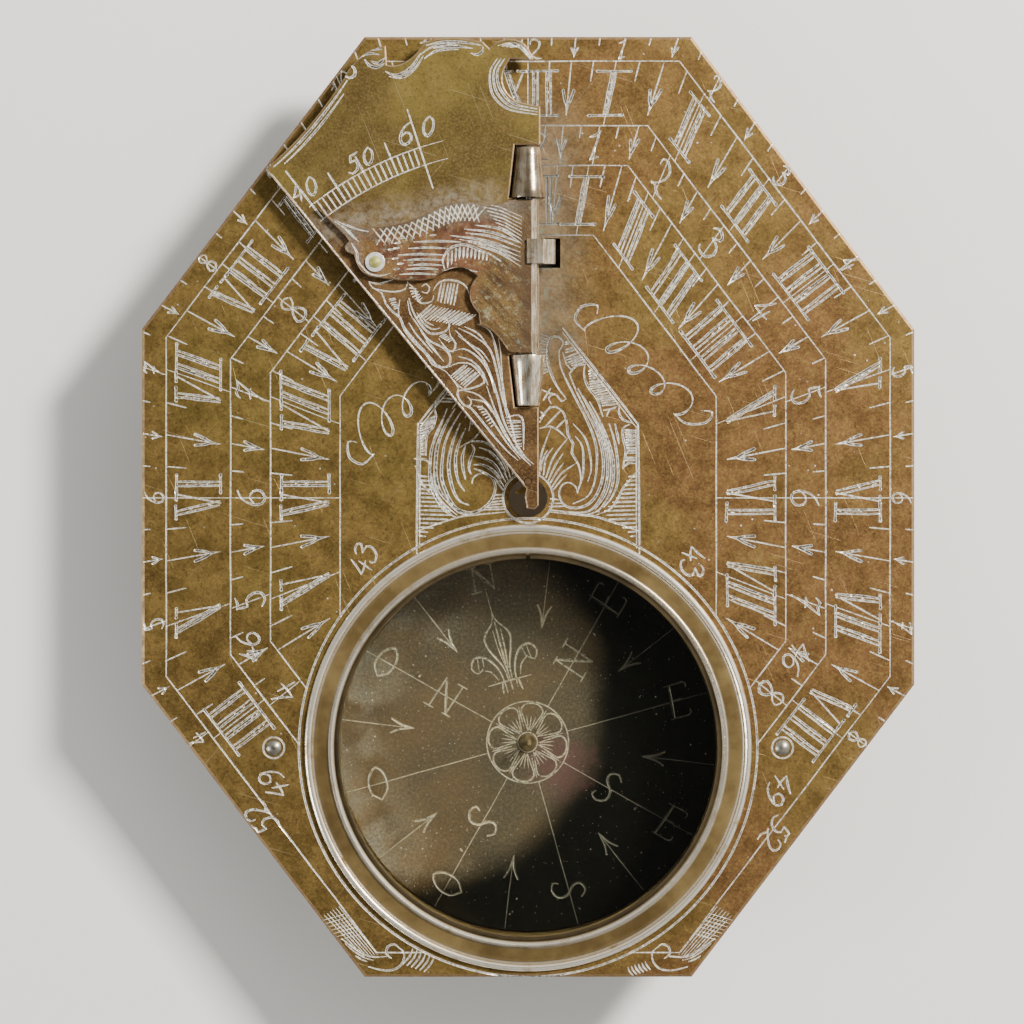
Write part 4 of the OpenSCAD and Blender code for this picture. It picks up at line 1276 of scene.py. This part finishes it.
def barrel_brass(name, seed, shine, brown, metallic=0.9):
    """Hinge knuckles: browned brass, filed along their length. Each knuckle's share of shine paints it
    lighter as a highlight, and its filing marks pale as lengthwise highlights.
    """
    k = Look(name)
    file_marks = k.noise(1.0, 4, 0.6, (seed, 0, 0), (6.0, 0.5, 6.0))
    blotch = k.noise(0.9, 5, 0.65, (seed, 3, 3)).band(0.35, 0.7)
    # painted highlight: the knuckle's whole tone made lighter by its share of shine
    c = k.mix(blotch, toned((0.42, 0.31, 0.18), 0.45 + 0.55 * shine),
              toned((0.62, 0.52, 0.37), 0.5 + 0.5 * shine))
    # filing marks painted pale as lengthwise highlights
    c = k.mix(file_marks.band(0.42, 0.62) * shine, c, (0.84, 0.79, 0.68))
    c = k.mix(k.noise(1.6, 5, 0.7, (seed, 1, 7)).band(0.54, 0.72) * brown, c, (0.17, 0.10, 0.055))
    return k.finish(c, blotch * 0.08 + 0.17, metallic, file_marks + k.noise(7.0) * 0.4)


def steel_look(name, colour=(0.42, 0.41, 0.40), rust=0.35, metallic=0.95):
    """Old steel or white metal with faint rust freckles."""
    k = Look(name)
    c = k.mix(k.noise(1.5, 5, 0.7).band(0.35, 0.7), toned(colour, 0.55), colour)
    c = k.mix(k.noise(2.6, 5, 0.7, (4, 4, 4)).band(0.56, 0.7) * rust, c, (0.17, 0.07, 0.03))
    return k.finish(c, k.noise(3.0) * 0.22 + 0.22, metallic, k.noise(6.0, 4, 0.6), 0.25)


def bare_part(k):
    """1 on the left-hand part of the compass floor, painted as if in light, and 0 where the floor is painted
    black as shade and a dark reflection.
    """
    return (k.distance((-9.0, -15.0)) + k.noise(0.16, 5) * 2.5).band(17.6, 14.4)


def floor_look(name):
    """The compass floor: browned brass on its left-hand part, painted as if in light, and nearly black
    elsewhere as painted shade and a dark reflection, with dust along its rim and a reddish stain.
    """
    k = Look(name)
    r = k.distance(COMPASS)
    grain = k.noise(4.5, 5, 0.75)
    # the left-hand part is painted as if in light; elsewhere the floor is painted black as shade and a dark
    # reflection
    lit_side = bare_part(k)
    clouds = k.noise(0.16, 5, 0.6, (2, 8, 0))
    brown = k.mix(clouds.band(0.35, 0.65), (0.085, 0.055, 0.026), (0.05, 0.04, 0.025))
    c = k.mix(lit_side, (0.009, 0.0085, 0.006), brown)
    c = k.mix(grain.band(0.42, 0.7) * lit_side * 0.7, c, (0.17, 0.12, 0.065))
    rim = r.band(9.0, 15.0) * k.noise(0.35, 5, 0.6, (1, 5, 5)).band(0.4, 0.62)
    # the dust along the rim is kept mostly off the part painted as shade
    dust = k.axis(0).band(4.0, -12.0) * rim * (lit_side * 0.85 + 0.05)
    c = k.mix(dust * grain.band(0.35, 0.65), c, (0.16, 0.15, 0.12))
    stain = k.distance((2.6, -20.6)) + k.noise(0.8) * 4.0
    c = k.mix(stain.band(5.4, 3.2) * 0.7, c, (0.10, 0.045, 0.04))
    specks = k.specks(1.6, 0.12) * r.band(5.0, 13.0)
    c = k.mix(specks * k.noise(0.9, 3).band(0.5, 0.6), c, (0.5, 0.47, 0.4))
    return k.finish(c, dust * 0.35 + 0.42, 1.0 - lit_side * 0.3, grain, 0.15)


def bird_look(name):
    """The bird: red-brown pitted metal, paler and greyer along its crown, dark near the hinge."""
    k = Look(name)
    x, y = k.axis(0), k.axis(1)
    patches = k.noise(0.7, 6, 0.68, (6, 1, 0))
    grain = k.noise(5.0, 5, 0.75)
    c = k.mix(patches.band(0.36, 0.64), (0.075, 0.028, 0.015), (0.19, 0.085, 0.04))
    c = k.mix(k.noise(0.5, 5, 0.6, (9, 9, 0)).band(0.45, 0.62) * 0.45, c, GOLD)
    tail = (x - y * 0.5).band(-13.2, -11.5)
    streaks = k.noise(1.1, 6, 0.7, stretch=(0.3, 1.8, 1.0), turn=48)
    c = k.mix(tail * 0.75, c, k.mix(streaks.band(0.4, 0.6), (0.06, 0.04, 0.018), (0.2, 0.13, 0.04)))
    crust = k.noise(1.7, 6, 0.8, (2, 7, 7)).band(0.53, 0.62) * streaks.band(0.35, 0.55)
    c = k.mix(crust * 0.7, c, (0.38, 0.37, 0.23))
    crown = (y - x * 0.17).band(22.3, 23.2) * k.noise(1.2, 5, 0.7).band(0.3, 0.55)
    c = k.mix(crown * 0.75, c, (0.10, 0.085, 0.055))
    tip = (x + k.noise(0.6) * 3.0).band(-10.5, -14.0)
    c = k.mix(tip * 0.6, c, (0.34, 0.31, 0.24))
    top = (y + k.noise(0.5) * 2.5).band(22.8, 25.0)
    c = k.mix(top * 0.35, c, (0.36, 0.32, 0.25))
    hinge = (x + k.noise(0.9, 4, 0.6, (3, 3, 0)) * 2.6).band(-0.8, 1.4)
    c = k.mix(hinge * 0.75, c, (0.09, 0.055, 0.03))
    c = k.mix(k.noise(1.3, 5, 0.7, (12, 3, 1)).band(0.58, 0.7) * 0.55, c, VERDIGRIS)
    c = k.mix(grain.band(0.45, 0.65) * 0.6, c, (0.06, 0.03, 0.016))
    return k.finish(c, patches * 0.22 + 0.36, 0.75, grain + patches * 1.2, 0.55, 0.05)


def style_look(name):
    """The style plate: golden olive at its far end and red-brown scrollwork towards the foot."""
    k = Look(name)
    x, y = k.axis(0), k.axis(1)
    patches = k.noise(0.5, 6, 0.66, (2, 2, 0))
    clouds = k.noise(0.14, 5, 0.6, (7, 5, 0))
    grain = k.noise(5.5, 5, 0.72)
    gold = k.mix(clouds.band(0.34, 0.66), (0.11, 0.074, 0.021), (0.25, 0.182, 0.044))
    brown = k.mix(patches.band(0.36, 0.66), (0.085, 0.041, 0.018), (0.175, 0.095, 0.04))
    c = k.mix((y + patches * 6.0).band(28.5, 23.5), gold, brown)
    c = k.mix(patches.band(0.5, 0.75) * 0.35, c, (0.25, 0.16, 0.065))
    # rough grey bloom above the bird's crown
    above = abs(y - (x * 0.19 + 24.4)) + k.noise(0.8, 5, 0.65) * 2.4
    crust = above.band(3.2, 1.2) * k.noise(1.6, 6, 0.75, (1, 9, 4)).band(0.34, 0.6) * x.band(-1.0, -4.0)
    c = k.mix(crust * 0.8, c, (0.36, 0.31, 0.23))
    c = k.mix(grain.band(0.44, 0.7) * 0.6, c, (0.32, 0.215, 0.075))
    c = k.mix(k.noise(3.4, 5, 0.75, (5, 5, 2)).band(0.5, 0.68) * 0.6, c, (0.07, 0.036, 0.014))
    c = k.mix(k.scratches(5.0) * 0.3, c, (0.6, 0.5, 0.34))
    return k.finish(c, patches * 0.16 + 0.34, 0.8, grain + patches, 0.35)


def glass_look(name):
    """Old window glass with a faint grey-green tint and smears. Lamps shine through it."""
    k = Look(name)
    smear = k.noise(0.3, 4, 0.6, stretch=(1.0, 0.4, 1.0), turn=25).band(0.5, 0.75)
    rough = k.calc("MAXIMUM", smear * 0.05, k.specks(2.2, 0.07)) * 0.3 + 0.02
    glass = k.node("BsdfPrincipled", {"Base Color": (0.93, 0.96, 0.93), "IOR": 1.46, "Roughness": rough,
                                      "Transmission Weight": 1.0})
    clear = k.node("BsdfTransparent", {"Color": (0.9, 0.93, 0.9)})
    shadow_ray = k.node("LightPath", {}, "Is Shadow Ray")
    return k.surface(k.node("MixShader", {0: shadow_ray, 1: glass, 2: clear}))


# ---------------------------------------------------------------- build
def piece(obj, node, body, materials):
    """Puts a rebuilt plate in the place of its CAD node, on the same body."""
    for m in materials:
        obj.data.materials.append(m)
    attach(obj, body)
    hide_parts(node)


left, right, low, high = LUG_SLOT
dial_holes = [ring(COMPASS, OPENING_R, 96), ring(CENTRE, CENTRE_HOLE_R, 48),
              [(left, low), (right, low), (right, high), (left, high)]]
dial_holes += [ring(c, RIVET_HOLE_R, 24) for c in RIVETS_AT] + [ring(c, STEM_HOLE_R, 24) for c in STEMS_AT]
screw_holes = [(c, SCREW_HOLE_R, SCREW_HOLE_DEPTH) for c in SCREWS_AT]
dial = engraved_plate("engraved_dial_plate", corners(0), dial_holes, dial_engraving(), FACE_Z - PLATE_T,
                      PLATE_T, chamfer=0.22, blind=screw_holes)
piece(dial, "dial_plate", "dial",
      [patina("dial_patina", 0.68, hinge=True),
       bright_cut("dial_cut", lit_and_clean=lambda k: 1.0 - hinge_bloom(k), top=FACE_Z),
       worn_edge("worn_edge")])

floor_disc = engraved_plate("engraved_compass_floor", ring(COMPASS, FLOOR_R, 96),
                            [ring(COMPASS, PIN_HOLE_R, 24)], rose_engraving(), FLOOR_Z, FLOOR_T, chamfer=0.1)
piece(floor_disc, "compass_floor", "dial",
      [floor_look("floor_patina"),
       # the rose's lines and letters are dimmed as painted shade on the black part of the floor
       bright_cut("floor_cut", (0.42, 0.38, 0.29), (0.05, 0.035, 0.02), 0.85, 0.4, 0.7, lit_and_clean=bare_part),
       floor_look("floor_edge")])

style = engraved_plate("engraved_style_plate", style_outline()[::-1],
                       [eye_slot(), ring(PIVOT, PIVOT_HOLE_R, 24)], style_engraving(), STYLE_Z, STYLE_T,
                       chamfer=0.1)
piece(style, "style_plate", "style",
      [style_look("style_patina"), bright_cut("style_cut", top=STYLE_Z + STYLE_T),
       worn_edge("style_edge", (0.36, 0.26, 0.15))])

bird = engraved_plate("engraved_bird_plate", bird_outline()[::-1], [ring(EYE, EYE_HOLE_R, 24)],
                      bird_engraving(), BIRD_Z, BIRD_T, chamfer=0.07)
piece(bird, "bird_plate", "folding_leaf",
      [bird_look("bird_patina"), bright_cut("bird_cut", top=BIRD_Z + BIRD_T),
       # the bird's edges are dark brown as painted shade between the bird and the style plate
       worn_edge("bird_edge_shade", (0.17, 0.11, 0.06))])

LOOKS = {
    # the pairs at the end of the drum's and the bezel's entries place the rings painted as highlights
    "compass_drum": turned_brass("box_brass", COMPASS, (0.12, 0.075, 0.028), (0.25, 0.165, 0.055),
                                 (0.36, 0.25, 0.10), 0.42, 2.2, ((13.25, 0.8), (5.0, 0.5))),
    "bezel_ring": turned_brass("bezel_brass", COMPASS, (0.17, 0.11, 0.04), (0.31, 0.215, 0.085),
                               (0.46, 0.34, 0.17), 0.38, 0.9, ((15.33, 0.3), (17.1, 0.36), (16.72, 0.12))),
    "compass_glass": glass_look("old_glass"),
    "glass_retaining_ring": turned_brass("wire_brass", COMPASS, (0.04, 0.028, 0.014), (0.09, 0.065, 0.03),
                                         (0.15, 0.11, 0.06), 0.4, 2.0),
    "pivot_pin": turned_brass("pin_brass", COMPASS, (0.10, 0.065, 0.03), (0.2, 0.14, 0.06),
                              (0.32, 0.25, 0.14), 0.3, 4.0),
    "compass_rivets": steel_look("rivet_metal", (0.42, 0.39, 0.33)),
    # the third number paints each knuckle lighter as a highlight, the south knuckle most
    "north_knuckle": barrel_brass("north_barrel", 1.0, 0.15, 0.8),
    "south_knuckle": barrel_brass("south_barrel", 4.0, 0.9, 0.05),
    "gnomon_knuckle": barrel_brass("moving_barrel", 7.0, 0.6, 0.4),
    "cam_lug": barrel_brass("cam_brass", 9.0, 0.4, 0.7, 0.7),
    "hinge_pin": steel_look("hinge_steel"),
    "back_plate": patina("back_patina", warmth=0.3, seed=13.0),
    "eye_rivet": turned_brass("eye_brass", EYE, (0.20, 0.18, 0.035), (0.33, 0.30, 0.07), (0.46, 0.43, 0.16),
                              0.5, 3.0, metallic=0.3),
    "eye_washer": steel_look("washer_metal", (0.86, 0.85, 0.78), 0.1, 0.35),
    "pivot_rivet": turned_brass("pivot_brass", PIVOT, (0.09, 0.05, 0.025), (0.19, 0.11, 0.05),
                                (0.27, 0.17, 0.09), 0.4, 4.0),
    "detent_spring": steel_look("spring_steel", (0.05, 0.048, 0.045), 0.3),
    "spring_screws": steel_look("screw_steel", (0.36, 0.35, 0.34), 0.4),
}
# the width of each bevel, in millimetres
BEVELLED = {"north_knuckle": 0.08, "south_knuckle": 0.08, "cam_lug": 0.06, "eye_washer": 0.03,
            "compass_rivets": 0.03, "back_plate": 0.05, "detent_spring": 0.06, "spring_screws": 0.05}
for name, look in LOOKS.items():
    node = NODES[name]
    node.data.materials.clear()
    node.data.materials.append(look)
    if name in BEVELLED:
        weld = node.modifiers.new("join", "WELD")
        weld.merge_threshold = 0.001 * MM
        soft = node.modifiers.new("edges", "BEVEL")
        soft.width = BEVELLED[name] * MM
        soft.segments = 2
        soft.limit_method = "ANGLE"
        soft.angle_limit = math.radians(35)

# ---------------------------------------------------------------- floor, light and camera
# half the table's width, in metres
TABLE_HALF = 1.2
# just under the dial's foot, so that the two don't share a plane
TABLE_Z = -2e-5


def add(name, data, place=(0, 0, 0)):
    obj = bpy.data.objects.new(name, data)
    obj.location = place
    bpy.context.scene.collection.objects.link(obj)
    return obj


mesh = bpy.data.meshes.new("table_top")
mesh.from_pydata([(-TABLE_HALF, -TABLE_HALF, TABLE_Z), (TABLE_HALF, -TABLE_HALF, TABLE_Z),
                  (TABLE_HALF, TABLE_HALF, TABLE_Z), (-TABLE_HALF, TABLE_HALF, TABLE_Z)], [], [(0, 1, 2, 3)])
mesh.materials.append(Look("pale_floor").finish((0.74, 0.73, 0.70), 0.8, 0.0))
table_top = add("table_top", mesh)


def lamp(name, energy, size, place, colour):
    """A square lamp that shines on the middle of the dial: watts, its width and place in metres."""
    data = bpy.data.lights.new(name, "AREA")
    data.energy, data.size, data.color = energy, size, colour
    towards = Vector((0, 0, 0.01)) - Vector(place)
    add(name, data, place).rotation_euler = towards.to_track_quat("-Z", "Y").to_euler()


lamp("key", 6.5, 0.09, (0.30, 0.22, 0.34), (1.0, 0.97, 0.92))
lamp("fill", 1.2, 0.16, (-0.42, -0.12, 0.2), (0.94, 0.97, 1.0))

# the studio is dim on one side and bright on the other
world = bpy.data.worlds.new("studio")
world.use_nodes = True
sky = Tree(world.node_tree)
ray = sky.node("TexCoord", {}, "Generated")
towards = sky.vector("DOT_PRODUCT", ray, {1: (0.66, 0.5, 0.56)}, "Value")
shade = sky.node("ValToRGB", {"Fac": sky.node("MapRange", {"Value": towards, "From Min": -1})})
stops = shade.socket.node.color_ramp.elements
for stop, at, colour in zip(stops, (0.0, 0.85), ((0.16, 0.165, 0.18, 1), (1.5, 1.48, 1.42, 1))):
    stop.position, stop.color = at, colour
# a dark patch straight above keeps the glass clear and lets the engraving stand out
overhead = sky.node("MapRange", {"Value": sky.node("SeparateXYZ", {0: ray}, "Z"), "From Min": 0.8,
                                 "From Max": 0.97, "To Min": 1.0, "To Max": 0.06},
                    interpolation_type="SMOOTHSTEP")
glow = sky.vector("SCALE", shade, {"Scale": overhead})
sky.node("OutputWorld", {"Surface": sky.node("Background", {"Color": glow, "Strength": 0.6})})
bpy.context.scene.world = world

# the photo shows this many millimetres from edge to edge, at the plate's face
SEEN = 79.5
CAMERA_UP = 280
cam_data = bpy.data.cameras.new("camera")
cam_data.sensor_width = 36
cam_data.lens = 36 * CAMERA_UP / SEEN
cam_data.clip_start = 0.01
# the photo is centred a little to the left of the plate and below its middle
bpy.context.scene.camera = add("camera", cam_data, (-1.25 * MM, -0.4 * MM, (FACE_Z + CAMERA_UP) * MM))
